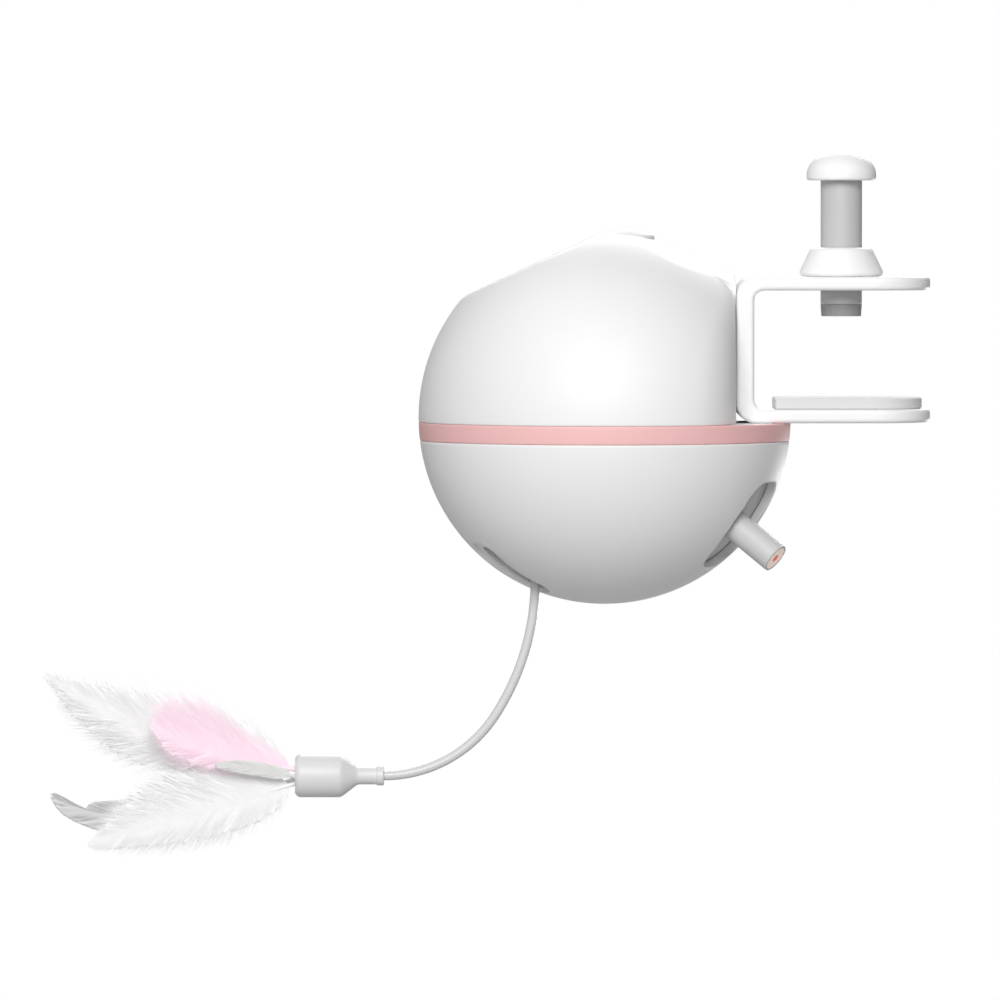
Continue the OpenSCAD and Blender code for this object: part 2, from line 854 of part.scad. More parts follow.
module bracket_screws() {
    l = wall + neck_l + bracket_screw_in;
    color(steel) for (p = bracket_screw_places)
        translate([flat_x - wall, p[0], p[1]]) rotate([0, 90, 0]) {
            translate([0, 0, -bracket_head_h]) cylinder(d = bracket_head_d, h = bracket_head_h);
            cylinder(d = bracket_screw_d, h = l);
        }
}

module laser_motor() {
    color(steel) laser_frame() gear_motor(1);
}

module laser_motor_shaft() {
    color(steel) laser_frame() motor_shaft(1);
}

module laser_pinion() {
    color(brass) laser_frame() translate([0, 0, pinion_z]) pinion_gear();
}

module laser_axle() {
    color(steel) laser_frame() pivot_axle();
}

module laser_carrier() {
    reach = laser_swing + sector_margin;
    color(pale_grey) laser_frame() difference() {
        union() {
            hub();
            gear_sector(-reach, reach);
            rotate([0, 90 + laser_dip, 0]) cylinder(d = carrier_d, h = carrier_end);
        }
        cross(axle_d + 2 * axle_run, far);
        rotate([0, 90 + laser_dip, 0]) translate([0, 0, tube_in]) cylinder(d = tube_d, h = ball_d);
    }
}

// Curved cover behind the laser slot, which moves with the tube
module laser_shutter() {
    color(mid_grey) laser_frame() difference() {
        sphere(shutter_r);
        sphere(shutter_r - shutter_t);
        rotate([0, 90 + laser_dip, 0]) cylinder(d = tube_d, h = ball_d);
        for (y = [shutter_y + shutter_side, shutter_y - shutter_side - far])
            translate([-far / 2, y, -far / 2]) cube([far, far, far]);
        rotate([0, shutter_top, 0]) translate([-far / 2, -far / 2, 0]) cube([far, far, far]);
        rotate([0, shutter_end, 0]) translate([-far / 2, -far / 2, -far]) cube([far, far, far]);
    }
}

module laser_tube() {
    bore_l = module_l + window_t;
    color(shell_white) laser_frame() rotate([0, 90 + laser_dip, 0]) difference() {
        translate([0, 0, tube_in]) cylinder(d = tube_d, h = tube_end - tube_in);
        translate([0, 0, tube_end - bore_l]) cylinder(d = module_d, h = bore_l + over);
        translate([0, 0, tube_end - window_t]) cylinder(d = window_d, h = window_t + over);
    }
}

module laser_module() {
    color(brass) laser_frame() rotate([0, 90 + laser_dip, 0])
        translate([0, 0, tube_end - window_t - module_l]) cylinder(d = module_d, h = module_l);
}

module laser_window() {
    color([0.9, 0.78, 0.72]) laser_frame() rotate([0, 90 + laser_dip, 0])
        translate([0, 0, tube_end - window_t]) difference() {
            cylinder(d = window_d, h = window_t);
            translate([0, 0, -over]) cylinder(d = aperture_d, h = window_t + 2 * over);
        }
}

module laser_aperture() {
    color([0.8, 0.16, 0.1]) laser_frame() rotate([0, 90 + laser_dip, 0])
        translate([0, 0, tube_end - window_t]) cylinder(d = aperture_d, h = window_t);
}

module feather_motor() {
    color(steel) feather_frame() gear_motor(-1);
}

module feather_motor_shaft() {
    color(steel) feather_frame() motor_shaft(-1);
}

module feather_pinion() {
    color(brass) feather_frame() translate([0, 0, pinion_z]) pinion_gear();
}

module feather_axle() {
    color(steel) feather_frame() pivot_axle();
}

module feather_arm() {
    color(pale_grey) difference() {
        feather_frame() union() {
            hub();
            gear_sector(-sector_margin, feather_swing + sector_margin);
            translate([0, 0, -arm_drop]) cylinder(d = arm_d, h = arm_drop);
        }
        feather_frame() cross(axle_d + 2 * axle_run, far);
        translate([wire_x, wire_y, arm_bottom - over]) cylinder(d = wire_d, h = wire_in + over);
        set_screw_hole();
    }
}

// Hole for the set screw, from the arm's side to the wire
module set_screw_hole() {
    translate([wire_x, wire_y, set_screw_z]) rotate([0, 0, feather_az]) rotate([90, 0, 0])
        cylinder(d = set_screw_d, h = arm_d);
}

module wire_set_screw() {
    color(steel) difference() {
        intersection() {
            set_screw_hole();
            translate([wire_x, wire_y, arm_bottom]) cylinder(d = arm_d - 2 * set_screw_sink, h = arm_drop);
        }
        translate([wire_x, wire_y, arm_bottom]) cylinder(d = wire_d, h = wire_in);
    }
}

// Straight out of the arm, round a gentle and a closer bend, and straight into the socket.
// Each bend is a hair thicker than what runs into it, and overlaps it.
module feather_wire() {
    color(pale_grey) {
        translate([wire_x, wire_y, sway_z - wire_lap])
            cylinder(d = wire_d, h = arm_bottom + wire_in - sway_z + wire_lap);
        translate([sway_x, wire_y, sway_z]) rotate([-90, 0, 0])
            rotate_extrude(angle = sway_turn + sway_lap)
                translate([sway_r, 0]) circle(d = wire_d + wire_step);
        translate([bend_x, wire_y, bend_z]) rotate([-90, 0, 0]) rotate([0, 0, sway_turn])
            rotate_extrude(angle = 90 - sway_turn) translate([bend_r, 0]) circle(d = wire_d + 2 * wire_step);
        translate([socket_x - wire_tail, wire_y, -socket_drop]) rotate([0, 90, 0])
            cylinder(d = wire_d, h = wire_tail + wire_lap);
    }
}

module feather_socket() {
    r = socket_d / 2;
    neck_r = socket_neck_d / 2;
    cone_at = socket_neck_l + socket_cone;
    length = cone_at + socket_l;
    color(pale_grey) translate([socket_x, wire_y, -socket_drop]) rotate([0, -90, 0]) difference() {
        rotate_extrude() polygon(concat(
            [[0, 0], [neck_r - socket_neck_edge, 0], [neck_r, socket_neck_edge]],
            [[neck_r, socket_neck_l], [r, cone_at]],
            arc_points(r - socket_round, length - socket_round, socket_round, 0, 90),
            [[0, length]]
        ));
        translate([0, 0, -over]) cylinder(d = wire_d, h = wire_tail + over);
        translate([0, 0, length - plug_l]) cylinder(d = plug_d, h = plug_l + over);
    }
}

// Plug in the socket's mouth, with a hole for each quill
module quill_plug() {
    color(pale_grey) translate([mouth_x, wire_y, -socket_drop]) difference() {
        rotate([0, 90, 0]) cylinder(d = plug_d, h = plug_l);
        for (f = [upper_white, pink, lower_white, grey, covert])
            translate([-over, f[0][0], f[0][1]]) rotate([0, 90, 0])
                cylinder(r = quill_r + fit, h = quill_in + over + fit);
    }
}

// Feather: a quill that opens into a cupped vane along a curve from the socket's mouth
function bend_at(f, t) = 2 * t * (1 - t) * f[1] + t * t * f[2] + pow(1 - t, 2) * [0, f[0][1]];
function slope_at(f, t) = 2 * (1 - t) * (f[1] - [0, f[0][1]]) + 2 * t * (f[2] - f[1]);
function half_width(f, t) = quill_r + (f[4] - quill_r) * pow(max(sin(180 * pow(t, f[5])), 0), f[6]);
function vane_ring(f, t) =
    let (p = bend_at(f, t), s = slope_at(f, t), n = [-s[1], s[0]] / norm(s), w = half_width(f, t),
        thick = t > tip_from ? tip_t : vane_t)
    [for (k = [0:vane_sides - 1])
        let (a = 360 * k / vane_sides, v = w * cos(a), at = p + v * n,
            cup = vane_cup * pow(v / f[4], 2))
        [-at[0], f[0][0] + f[3] * p[0] + thick * sin(a) + sign(f[3]) * cup, at[1]]];
function quill_ring(f, out) =
    [for (k = [0:vane_sides - 1])
        let (a = 360 * k / vane_sides)
        [-out, f[0][0] + quill_r * quill_flat * sin(a), f[0][1] + quill_r * cos(a)]];
module feather(f) {
    rings = concat(
        [quill_ring(f, -quill_in), quill_ring(f, 0)],
        [for (i = [1:vane_steps]) vane_ring(f, i / (vane_steps + tip_cut))]
    );
    last = len(rings) - 1;
    n = vane_sides;
    points = [for (ring = rings) each ring];
    sides = [for (i = [0:last - 1], k = [0:n - 1])
        let (a = i * n + k, b = i * n + (k + 1) % n)
        each [[a, a + n, b], [b, a + n, b + n]]];
    ends = [for (k = [1:n - 2]) each [[0, k, k + 1], [last * n, last * n + k + 1, last * n + k]]];
    translate([mouth_x, wire_y, -socket_drop]) polyhedron(points, concat(sides, ends));
}

module upper_white_feather() {
    color("white") feather(upper_white);
}

module pink_feather() {
    color([1, 0.84, 0.9]) feather(pink);
}

module lower_white_feather() {
    color("white") feather(lower_white);
}

module grey_feather() {
    color([0.6, 0.6, 0.6]) feather(grey);
}

module covert_feather() {
    color([0.78, 0.78, 0.76]) feather(covert);
}

place() upper_shell();
place() accent_band();
place() lower_shell();
place() clamp_bracket();
place() clamp_pad();
place() clamp_collar();
place() clamp_screw();
place() clamp_knob();
place() screw_foot();
place() power_button();
place() button_switch();
place() circuit_board();
place() battery_cell();
place() charge_port();
place() inner_frame();
place() frame_screws();
place() bracket_screws();
place() laser_motor();
place() laser_motor_shaft();
place() laser_pinion();
place() laser_axle();
place() laser_carrier();
place() laser_shutter();
place() laser_tube();
place() laser_module();
place() laser_window();
place() laser_aperture();
place() feather_motor();
place() feather_motor_shaft();
place() feather_pinion();
place() feather_axle();
place() feather_arm();
place() wire_set_screw();
place() feather_wire();
place() feather_socket();
place() quill_plug();
place() upper_white_feather();
place() pink_feather();
place() lower_white_feather();
place() grey_feather();
place() covert_feather();
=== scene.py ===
import bpy, bmesh, json, math
import numpy as np
from mathutils import Vector, Matrix


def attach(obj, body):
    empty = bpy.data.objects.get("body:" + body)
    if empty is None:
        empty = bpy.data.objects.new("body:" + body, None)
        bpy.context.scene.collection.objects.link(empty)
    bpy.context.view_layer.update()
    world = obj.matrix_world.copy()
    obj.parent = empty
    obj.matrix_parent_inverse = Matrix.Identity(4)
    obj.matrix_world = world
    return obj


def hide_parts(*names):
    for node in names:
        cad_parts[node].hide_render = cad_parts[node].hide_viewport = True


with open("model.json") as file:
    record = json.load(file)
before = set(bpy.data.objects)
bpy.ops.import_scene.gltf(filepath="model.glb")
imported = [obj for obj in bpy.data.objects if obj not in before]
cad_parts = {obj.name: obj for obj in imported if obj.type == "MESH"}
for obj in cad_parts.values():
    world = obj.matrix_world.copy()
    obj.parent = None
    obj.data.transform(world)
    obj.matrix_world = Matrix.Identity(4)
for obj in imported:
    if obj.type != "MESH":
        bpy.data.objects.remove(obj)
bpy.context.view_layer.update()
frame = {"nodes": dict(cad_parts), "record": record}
nodes = frame["nodes"]
scene = bpy.context.scene
bodyOf = {n: b for b, ns in frame["record"]["behaviour"]["bodies"].items() for n in ns}
slotOf = {s["node"]: s["material_slot"] for s in frame["record"]["subparts"]}
mm = 0.001
ballCentre = Vector((-57.2, 0, -5.0))  # mm, from the pad under the screw
ballRadius = 45.0
wallThickness = 2.2

# camera at the photo's height, far off with a long lens; lengths in mm
studio = {
    "aim": (-82.5, 0, -24.9),  # middle of the picture
    "frameWidth": 242.0, "distance": 2000.0, "elevation": 2.0, "sensor": 36.0, "farEnd": 50000.0,
    "floorLevel": -175.0, "floorHalf": 6000.0, "floorTone": 0.42, "floorShade": 0.4, "floorRoughness": 0.8,
    "backdrop": (1.0, 1.0, 1.0),
    "fill": (0.42, 0.08),  # soft light from the left and from the right
    "fillTurn": (0.3, -0.9),  # sideways directions between which one goes over into the other
}


def placed(name, data):
    obj = bpy.data.objects.new(name, data)
    scene.collection.objects.link(obj)
    return obj


def pointAlong(obj, direction):
    obj.rotation_mode = "QUATERNION"
    obj.rotation_quaternion = direction.to_track_quat("-Z", "Y")


def makeCamera(s):
    cam = placed("camera", bpy.data.cameras.new("camera"))
    e = math.radians(s["elevation"])
    back = Vector((0, -math.cos(e), math.sin(e)))
    cam.location = (Vector(s["aim"]) + back * s["distance"]) * mm
    pointAlong(cam, -back)
    cam.data.sensor_width = s["sensor"]
    cam.data.lens = s["sensor"] * s["distance"] / s["frameWidth"]
    cam.data.clip_end = s["farEnd"] * mm
    scene.camera = cam


makeCamera(studio)
print("camera set")


# materials: values of the plastic skin and of the feathers' fibres
skinForm = {
    "cloud": {"Scale": 28, "Detail": 3}, "grain": {"Detail": 4}, "rub": {"Scale": 160, "Detail": 6},
    "fade": {"From Min": 0.45, "From Max": 0.8, "To Max": 0.35}, "bumpStrength": 0.35, "coatRoughness": 0.12,
}
fibreForm = {"patch": {"Scale": 150, "Detail": 3},
             "surface": {"Roughness": 0.8, "Sheen Weight": 0.25, "Sheen Roughness": 0.5}}
fibreFields = ("along", "tone", "flank")
colourA, colourB, colourOut = 6, 7, 2  # a Mix node's colour sockets


def newGroup(name, inputs, outputs):
    tree = bpy.data.node_groups.new(name, "ShaderNodeTree")
    for n, kind, value in inputs:
        tree.interface.new_socket(n, in_out="INPUT", socket_type=kind).default_value = value
    for n, kind in outputs:
        tree.interface.new_socket(n, in_out="OUTPUT", socket_type=kind)
    return tree, tree.nodes.new("NodeGroupInput"), tree.nodes.new("NodeGroupOutput")


def setSockets(node, values):
    for k, v in values.items():
        node.inputs[k].default_value = v


def addNode(tree, kind, sockets=None, **values):
    n = tree.nodes.new(kind)
    for k, v in values.items():
        setattr(n, k, v)
    setSockets(n, sockets or {})
    return n


def newMaterial(name):
    m = bpy.data.materials.new(name)
    m.use_nodes = True
    return m, m.node_tree, m.node_tree.nodes["Principled BSDF"]


def mouldedSkinGroup(f):
    # moulded plastic: faint cloudiness, uneven gloss and a fine texture
    tree, gi, go = newGroup(
        "mouldedSkin",
        [("Colour", "NodeSocketColor", (0.9, 0.9, 0.9, 1)), ("Shade", "NodeSocketColor", (0.8, 0.8, 0.8, 1)),
         ("Roughness", "NodeSocketFloat", 0.3), ("Gloss Change", "NodeSocketFloat", 0.08),
         ("Grain Scale", "NodeSocketFloat", 2500.0)],
        [("Colour", "NodeSocketColor"), ("Roughness", "NodeSocketFloat"), ("Height", "NodeSocketFloat")])
    link = tree.links.new
    at = addNode(tree, "ShaderNodeTexCoord")
    cloud, grain, rub = (addNode(tree, "ShaderNodeTexNoise", f[k]) for k in ("cloud", "grain", "rub"))
    for n in (cloud, grain, rub):
        link(at.outputs["Object"], n.inputs["Vector"])
    link(gi.outputs["Grain Scale"], grain.inputs["Scale"])
    fade = addNode(tree, "ShaderNodeMapRange", f["fade"])
    link(cloud.outputs["Fac"], fade.inputs["Value"])
    mix = addNode(tree, "ShaderNodeMix", data_type="RGBA")
    link(fade.outputs["Result"], mix.inputs["Factor"])
    link(gi.outputs["Colour"], mix.inputs[colourA])
    link(gi.outputs["Shade"], mix.inputs[colourB])
    link(mix.outputs[colourOut], go.inputs["Colour"])
    centre = addNode(tree, "ShaderNodeMath", {1: 0.5}, operation="SUBTRACT")
    link(rub.outputs["Fac"], centre.inputs[0])
    swing = addNode(tree, "ShaderNodeMath", operation="MULTIPLY_ADD")
    link(centre.outputs[0], swing.inputs[0])
    link(gi.outputs["Gloss Change"], swing.inputs[1])
    link(gi.outputs["Roughness"], swing.inputs[2])
    link(swing.outputs[0], go.inputs["Roughness"])
    link(grain.outputs["Fac"], go.inputs["Height"])
    return tree


mouldedSkin = mouldedSkinGroup(skinForm)


def moulded(name, colour, shade, roughness, grain=2500.0, depth=0.00002, glossChange=0.08, coat=0.0, metallic=0.0,
            paintedGlow=0.0):
    m, t, p = newMaterial(name)
    link = t.links.new
    g = addNode(t, "ShaderNodeGroup", {"Colour": (*colour, 1), "Shade": (*shade, 1), "Roughness": roughness,
                                       "Gloss Change": glossChange, "Grain Scale": grain}, node_tree=mouldedSkin)
    bump = addNode(t, "ShaderNodeBump", {"Strength": skinForm["bumpStrength"], "Distance": depth})
    link(g.outputs["Colour"], p.inputs["Base Color"])
    link(g.outputs["Roughness"], p.inputs["Roughness"])
    link(g.outputs["Height"], bump.inputs["Height"])
    link(bump.outputs["Normal"], p.inputs["Normal"])
    setSockets(p, {"Coat Weight": coat, "Coat Roughness": skinForm["coatRoughness"], "Metallic": metallic})
    if paintedGlow:  # painted glow: emission that brightens faces the lamps barely reach, as if lit from behind
        link(g.outputs["Colour"], p.inputs["Emission Color"])
        setSockets(p, {"Emission Strength": paintedGlow})
    return m


finishes = {
    "white_plastic": moulded("whiteShell", (0.86, 0.86, 0.862), (0.835, 0.835, 0.84), 0.5),
    "pink_plastic": moulded("pinkBand", (0.88, 0.52, 0.515), (0.85, 0.48, 0.48), 0.5),
    "grey_rubber": moulded("padRubber", (0.72, 0.72, 0.725), (0.66, 0.66, 0.67), 0.75, grain=1400, depth=0.00008),
    "grey_plastic": moulded("greyRod", (0.54, 0.54, 0.545), (0.48, 0.48, 0.49), 0.45),
    "pale_plastic": moulded("paleMoulding", (0.74, 0.74, 0.745), (0.69, 0.69, 0.7), 0.42),
    "steel": moulded("plainSteel", (0.6, 0.61, 0.63), (0.5, 0.51, 0.53), 0.32, 900, metallic=1.0, glossChange=0.2),
    "brass": moulded("turnedBrass", (0.72, 0.56, 0.28), (0.6, 0.45, 0.2), 0.3, 900, metallic=1.0, glossChange=0.2),
    "green_board": moulded("boardMask", (0.05, 0.25, 0.12), (0.03, 0.18, 0.08), 0.4),
    "cell_wrap": moulded("cellWrap", (0.4, 0.48, 0.6), (0.33, 0.4, 0.52), 0.35),
    "dark_plastic": moulded("switchCase", (0.05, 0.05, 0.055), (0.03, 0.03, 0.03), 0.5),
    "wire_sleeve": moulded("wireSleeve", (0.68, 0.68, 0.685), (0.63, 0.63, 0.64), 0.3, grain=3000, depth=0.000005),
    # the window and the lens carry a painted glow that brightens them where little lamp light falls
    "peach_window": moulded("peachWindow", (0.97, 0.8, 0.7), (0.93, 0.72, 0.6), 0.35, paintedGlow=0.22),
    "red_aperture": moulded("redLens", (0.9, 0.07, 0.04), (0.8, 0.05, 0.03), 0.3, coat=0.2, paintedGlow=0.26),
}
clampWhite = moulded("clampWhite", (0.92, 0.92, 0.922), (0.9, 0.9, 0.905), 0.42)
# nodes that differ from the finish of their slot
ownFinish = {
    "clamp_bracket": clampWhite, "clamp_collar": clampWhite, "clamp_knob": clampWhite,
    "laser_tube": moulded("tubeWhite", (0.6, 0.6, 0.605), (0.57, 0.57, 0.58), 0.45),
    "laser_shutter": moulded("shutterGrey", (0.56, 0.56, 0.565), (0.5, 0.5, 0.51), 0.6),
    # the foot is painted much darker than the screw: painted shade of the upper arm over the screw's lower end
    "screw_foot": moulded("footPaintedShade", (0.3, 0.3, 0.305), (0.26, 0.26, 0.265), 0.6),
}


def down(name, tone, shade, tip, upper=None, paintedGlow=0.0):
    # feather fibre: colour changes along each barb, from barb to barb and between the two flanks
    m, t, p = newMaterial(name)
    link = t.links.new
    along, pick, flank = (addNode(t, "ShaderNodeAttribute", attribute_name=n) for n in fibreFields)
    at = addNode(t, "ShaderNodeTexCoord")
    patch = addNode(t, "ShaderNodeTexNoise", fibreForm["patch"])
    link(at.outputs["Object"], patch.inputs["Vector"])
    both = addNode(t, "ShaderNodeMath", operation="MULTIPLY")
    link(pick.outputs["Fac"], both.inputs[0])
    link(patch.outputs["Fac"], both.inputs[1])
    sides, mixed, ended = (addNode(t, "ShaderNodeMix", {colourB: (*c, 1)}, data_type="RGBA")
                           for c in (upper or tone, shade, tip))
    setSockets(sides, {colourA: (*tone, 1)})
    link(flank.outputs["Fac"], sides.inputs["Factor"])
    link(both.outputs[0], mixed.inputs["Factor"])
    link(along.outputs["Fac"], ended.inputs["Factor"])
    link(sides.outputs[colourOut], mixed.inputs[colourA])
    link(mixed.outputs[colourOut], ended.inputs[colourA])
    for socket in ("Base Color", "Emission Color"):
        link(ended.outputs[colourOut], p.inputs[socket])
    # the glow is painted light: emission that lifts the shade among the thin barbs, standing in for light that soaks
    # through them
    setSockets(p, {**fibreForm["surface"], "Emission Strength": paintedGlow})
    return m


# the glow values paint light into the feathers, lifting the shade between their barbs
fibres = {
    "upper_white_feather": down("whiteDown", (0.88, 0.88, 0.88), (0.66, 0.66, 0.665), (0.91, 0.91, 0.91),
                                paintedGlow=0.085),
    "lower_white_feather": down("whiteDownLow", (0.88, 0.88, 0.88), (0.75, 0.75, 0.755), (0.92, 0.92, 0.92),
                                paintedGlow=0.09),
    "pink_feather": down("pinkDown", (0.95, 0.75, 0.84), (0.93, 0.65, 0.77), (0.95, 0.84, 0.9), paintedGlow=0.1),
    "grey_feather": down("greyDown", (0.67, 0.67, 0.67), (0.58, 0.58, 0.58), (0.71, 0.71, 0.71),
                         upper=(0.45, 0.45, 0.45)),
    "covert_feather": down("covertDown", (0.73, 0.73, 0.72), (0.63, 0.63, 0.61), (0.87, 0.87, 0.86), paintedGlow=0.03),
}

for name, obj in nodes.items():
    obj.data.materials.clear()
    obj.data.materials.append(fibres.get(name) or ownFinish.get(name) or finishes[slotOf[name]])
print("materials set on", len(nodes), "nodes")


# mesh helpers
weld, cadWeld = 1e-7, 2e-6  # m, points closer than this become one
flatAngle, sharpAngle = math.radians(0.6), math.radians(30)
softForm = {"segments": 3, "profile": 0.5, "topDepth": 0.5}


def newPiece(name, mesh, material):
    obj = placed(name, mesh)
    mesh.materials.clear()
    mesh.materials.append(material)
    return obj


def standFor(obj, node):
    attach(obj, bodyOf[node])
    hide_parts(node)


def smoothMesh(mesh, angle=38):
    mesh.polygons.foreach_set("use_smooth", [True] * len(mesh.polygons))
    mesh.set_sharp_from_angle(angle=math.radians(angle))
    mesh.update()


def setField(mesh, name, values):
    mesh.attributes.new(name, "FLOAT", "POINT").data.foreach_set("value", values)


def toMesh(bm, name):
    mesh = bpy.data.meshes.new(name)
    bm.to_mesh(mesh)
    bm.free()
    return mesh


def bake(obj):
    # keeps what the modifiers make as a plain mesh
    obj.data = bpy.data.meshes.new_from_object(obj.evaluated_get(bpy.context.evaluated_depsgraph_get()))
    obj.modifiers.clear()


def turnedOut(mesh):
    bm = bmesh.new()
    bm.from_mesh(mesh)
    bmesh.ops.remove_doubles(bm, verts=bm.verts, dist=weld)
    bmesh.ops.recalc_face_normals(bm, faces=bm.faces)
    bm.to_mesh(mesh)
    bm.free()
    return mesh


def softened(node, width, raised, clamp):
    # a copy of a CAD node with its sharp edges rounded and its top raised, in mm
    mesh = nodes[node].data.copy()
    for a in ("custom_normal", "sharp_face", "sharp_edge"):
        if a in mesh.attributes:
            mesh.attributes.remove(mesh.attributes[a])
    bm = bmesh.new()
    bm.from_mesh(mesh)
    bmesh.ops.remove_doubles(bm, verts=bm.verts, dist=cadWeld)
    bmesh.ops.dissolve_limit(bm, angle_limit=flatAngle, verts=bm.verts, edges=bm.edges)
    top = max(v.co.z for v in bm.verts)
    for v in bm.verts:
        if v.co.z > top - softForm["topDepth"] * mm:
            v.co.z += raised * mm
    sharp = [e for e in bm.edges if len(e.link_faces) == 2 and e.calc_face_angle(0) > sharpAngle]
    bmesh.ops.bevel(bm, geom=sharp, offset=width * mm, offset_type="OFFSET", segments=softForm["segments"],
                    profile=softForm["profile"], affect="EDGES", clamp_overlap=clamp)
    bm.to_mesh(mesh)
    bm.free()
    smoothMesh(mesh)
    piece = newPiece(node + ".soft", mesh, nodes[node].data.materials[0])
    piece.modifiers.new("weighted", "WEIGHTED_NORMAL").keep_sharp = True
    bake(piece)
    standFor(piece, node)


def gridMesh(name, rows, first, last):
    # rows of points [rows, columns, 3] in mm, joined round, with a closing point at either end
    count, cols = rows.shape[:2]
    verts = rows.reshape(-1, 3)
    j = np.arange(cols)
    k = (j + 1) % cols
    faces = []
    for i in range(count - 1):
        faces += np.stack([i * cols + j, (i + 1) * cols + j, (i + 1) * cols + k, i * cols + k], 1).tolist()
    ends = [(p, r) for p, r in ((first, 0), (last, count - 1)) if p is not None]
    for n, (_, row) in enumerate(ends):
        faces += np.stack([np.full(cols, len(verts) + n), row * cols + j, row * cols + k], 1).tolist()
    if ends:
        verts = np.vstack([verts, np.array([p for p, r in ends])])
    mesh = bpy.data.meshes.new(name)
    mesh.from_pydata((verts * mm).tolist(), [], faces)
    return turnedOut(mesh)


def cappedMesh(name, rows):
    # rows closed at either end by their middle
    return gridMesh(name, rows, rows[0].mean(0), rows[-1].mean(0))


def lathe(name, profile, columns, centre):
    # closed ring of [r, z] points in mm turned about Z
    a = np.linspace(0, 2 * math.pi, columns, endpoint=False)
    p = np.array(profile + profile[:1])
    rows = np.stack([p[:, :1] * np.cos(a), p[:, :1] * np.sin(a), np.repeat(p[:, 1:], columns, 1)], 2)
    return gridMesh(name, rows + np.array(centre), None, None)


def block(x, y, z):
    # closed box over three spans in mm from the ball's centre
    bm = bmesh.new()
    for p in [(a, b, c) for a in x for b in y for c in z]:
        bm.verts.new((Vector(p) + ballCentre) * mm)
    bmesh.ops.convex_hull(bm, input=bm.verts)
    bmesh.ops.dissolve_limit(bm, angle_limit=flatAngle, verts=bm.verts, edges=bm.edges)
    bmesh.ops.recalc_face_normals(bm, faces=bm.faces)
    return toMesh(bm, "block")


def cut(obj, cutters):
    for c in cutters:
        tool = placed("cutter", c)
        mod = obj.modifiers.new("cut", "BOOLEAN")
        mod.operation, mod.solver, mod.object = "DIFFERENCE", "EXACT", tool
        bake(obj)
        bpy.data.objects.remove(tool)


# ball: two shells and the band between them; lengths in mm from the ball's centre
ballMiddle = np.array(ballCentre)
ballColumns, edgeSteps = 384, 5
search = {"near": 15.0, "far": 60.0, "halvings": 44}
upperForm = {
    "bottom": -1.0, "edge": 0.4, "rows": 150,
    # outward normal, distance and softness of each flat of the crown
    "flats": [((-0.41787, 0, 0.90851), 40.9, 0.7), ((0.40439, 0.18857, 0.89493), 43.9, 0.25),
              ((0.40439, -0.18857, 0.89493), 43.9, 0.25)],
    # flat at the clamp, arc of the ball's side into it and its edge to the crown
    "flat": 31.2, "flatRound": 20.0, "flatEdge": 0.2,
    # neck to the bracket: both ends, half width and softness at its foot; depth under the crown's flats and two edges
    "neck": (23.2, 31.5, 12.0, 0.5), "neckSink": 0.15, "neckEdges": (0.5, 0.3),
    "buttonX": 5.5, "buttonHole": 6.8, "holeEdge": 0.3, "holeDepth": 14.0, "holeClear": 0.6, "holeSides": 96,
    "portPlace": (-4, 7), "portHalf": (2.9, 1.8), "portReach": (33.0, 50.0), "portCurve": 12,
    # floor under the clamp's lower arm: reach, lower and upper face, place in the wall and half turn in radians
    "ledge": (42.6, -3.0, -1.0), "ledgeInset": 1.1, "ledgeTurn": 1.2, "ledgeRows": 161, "ledgeLeast": 0.05,
    # posts of the inner frame
    "postAngles": (-57.5, -122.5, 90), "postRing": 26.1, "postFoot": 26.0, "postTop": 34.0, "postRadii": (1.2, 3),
    "postSides": 32,
    # sleeve of the charge port: spans of its four walls across and up, and its depth
    "sleeve": [((-10.3, -8.7), (3.6, 10.4)), ((0.7, 2.3), (3.6, 10.4)), ((-10.3, 2.3), (8.8, 10.4)),
               ((-10.3, 2.3), (3.6, 5.2))],
    "sleeveDepth": (34.3, 40.5),
}
lowerForm = {
    "top": -5.4, "edge": 0.4, "rows": 130,
    # direction, upper and lower end below level, width, corner, rim rounding and depth (0 cuts through)
    "laserSlot": (-19.8, 20, 53, 18.4, 6.5, 0.45, 0), "recess": (201, 42, 70, 14.5, 6.0, 0.5, 1.2),
    "wireSlot": (201, 45, 69, 5.0, 2.4, 0.2, 0),
}
# cutters of slots and holes: rings of a rounded rim, its height off the surface, and a slot's floor or depths
cutterForm = {"rimSteps": 6, "lift": 0.4, "over": 6.0, "clear": 0.8, "cornerPoints": 14, "through": (20.0, 4.0),
              "floor": (0.2, 0.4, 0.6, 0.8, 0.93, 1)}
bandForm = {"top": -1.0, "end": -5.4, "edge": 0.35, "inner": 42.8, "rows": 8}


def roundMax(a, b, r):
    return np.minimum(np.maximum(a, b), -r) + np.hypot(np.maximum(a + r, 0), np.maximum(b + r, 0))


def clampSide(form, x, y, z, inset):
    # distance beyond the flat at the clamp, which the ball's side runs into in a wide arc at every height
    r = form["flatRound"]
    cx = form["flat"] - r
    level = np.sqrt(np.maximum(ballRadius ** 2 - z ** 2, form["flat"] ** 2))
    cy = np.sqrt(np.maximum((level - r) ** 2 - cx ** 2, 0))
    a = np.clip(np.arctan2(np.abs(y) - cy, x - cx), 0, np.arctan2(cy, cx))
    return (x - cx) * np.cos(a) + (np.abs(y) - cy) * np.sin(a) - (r - inset)


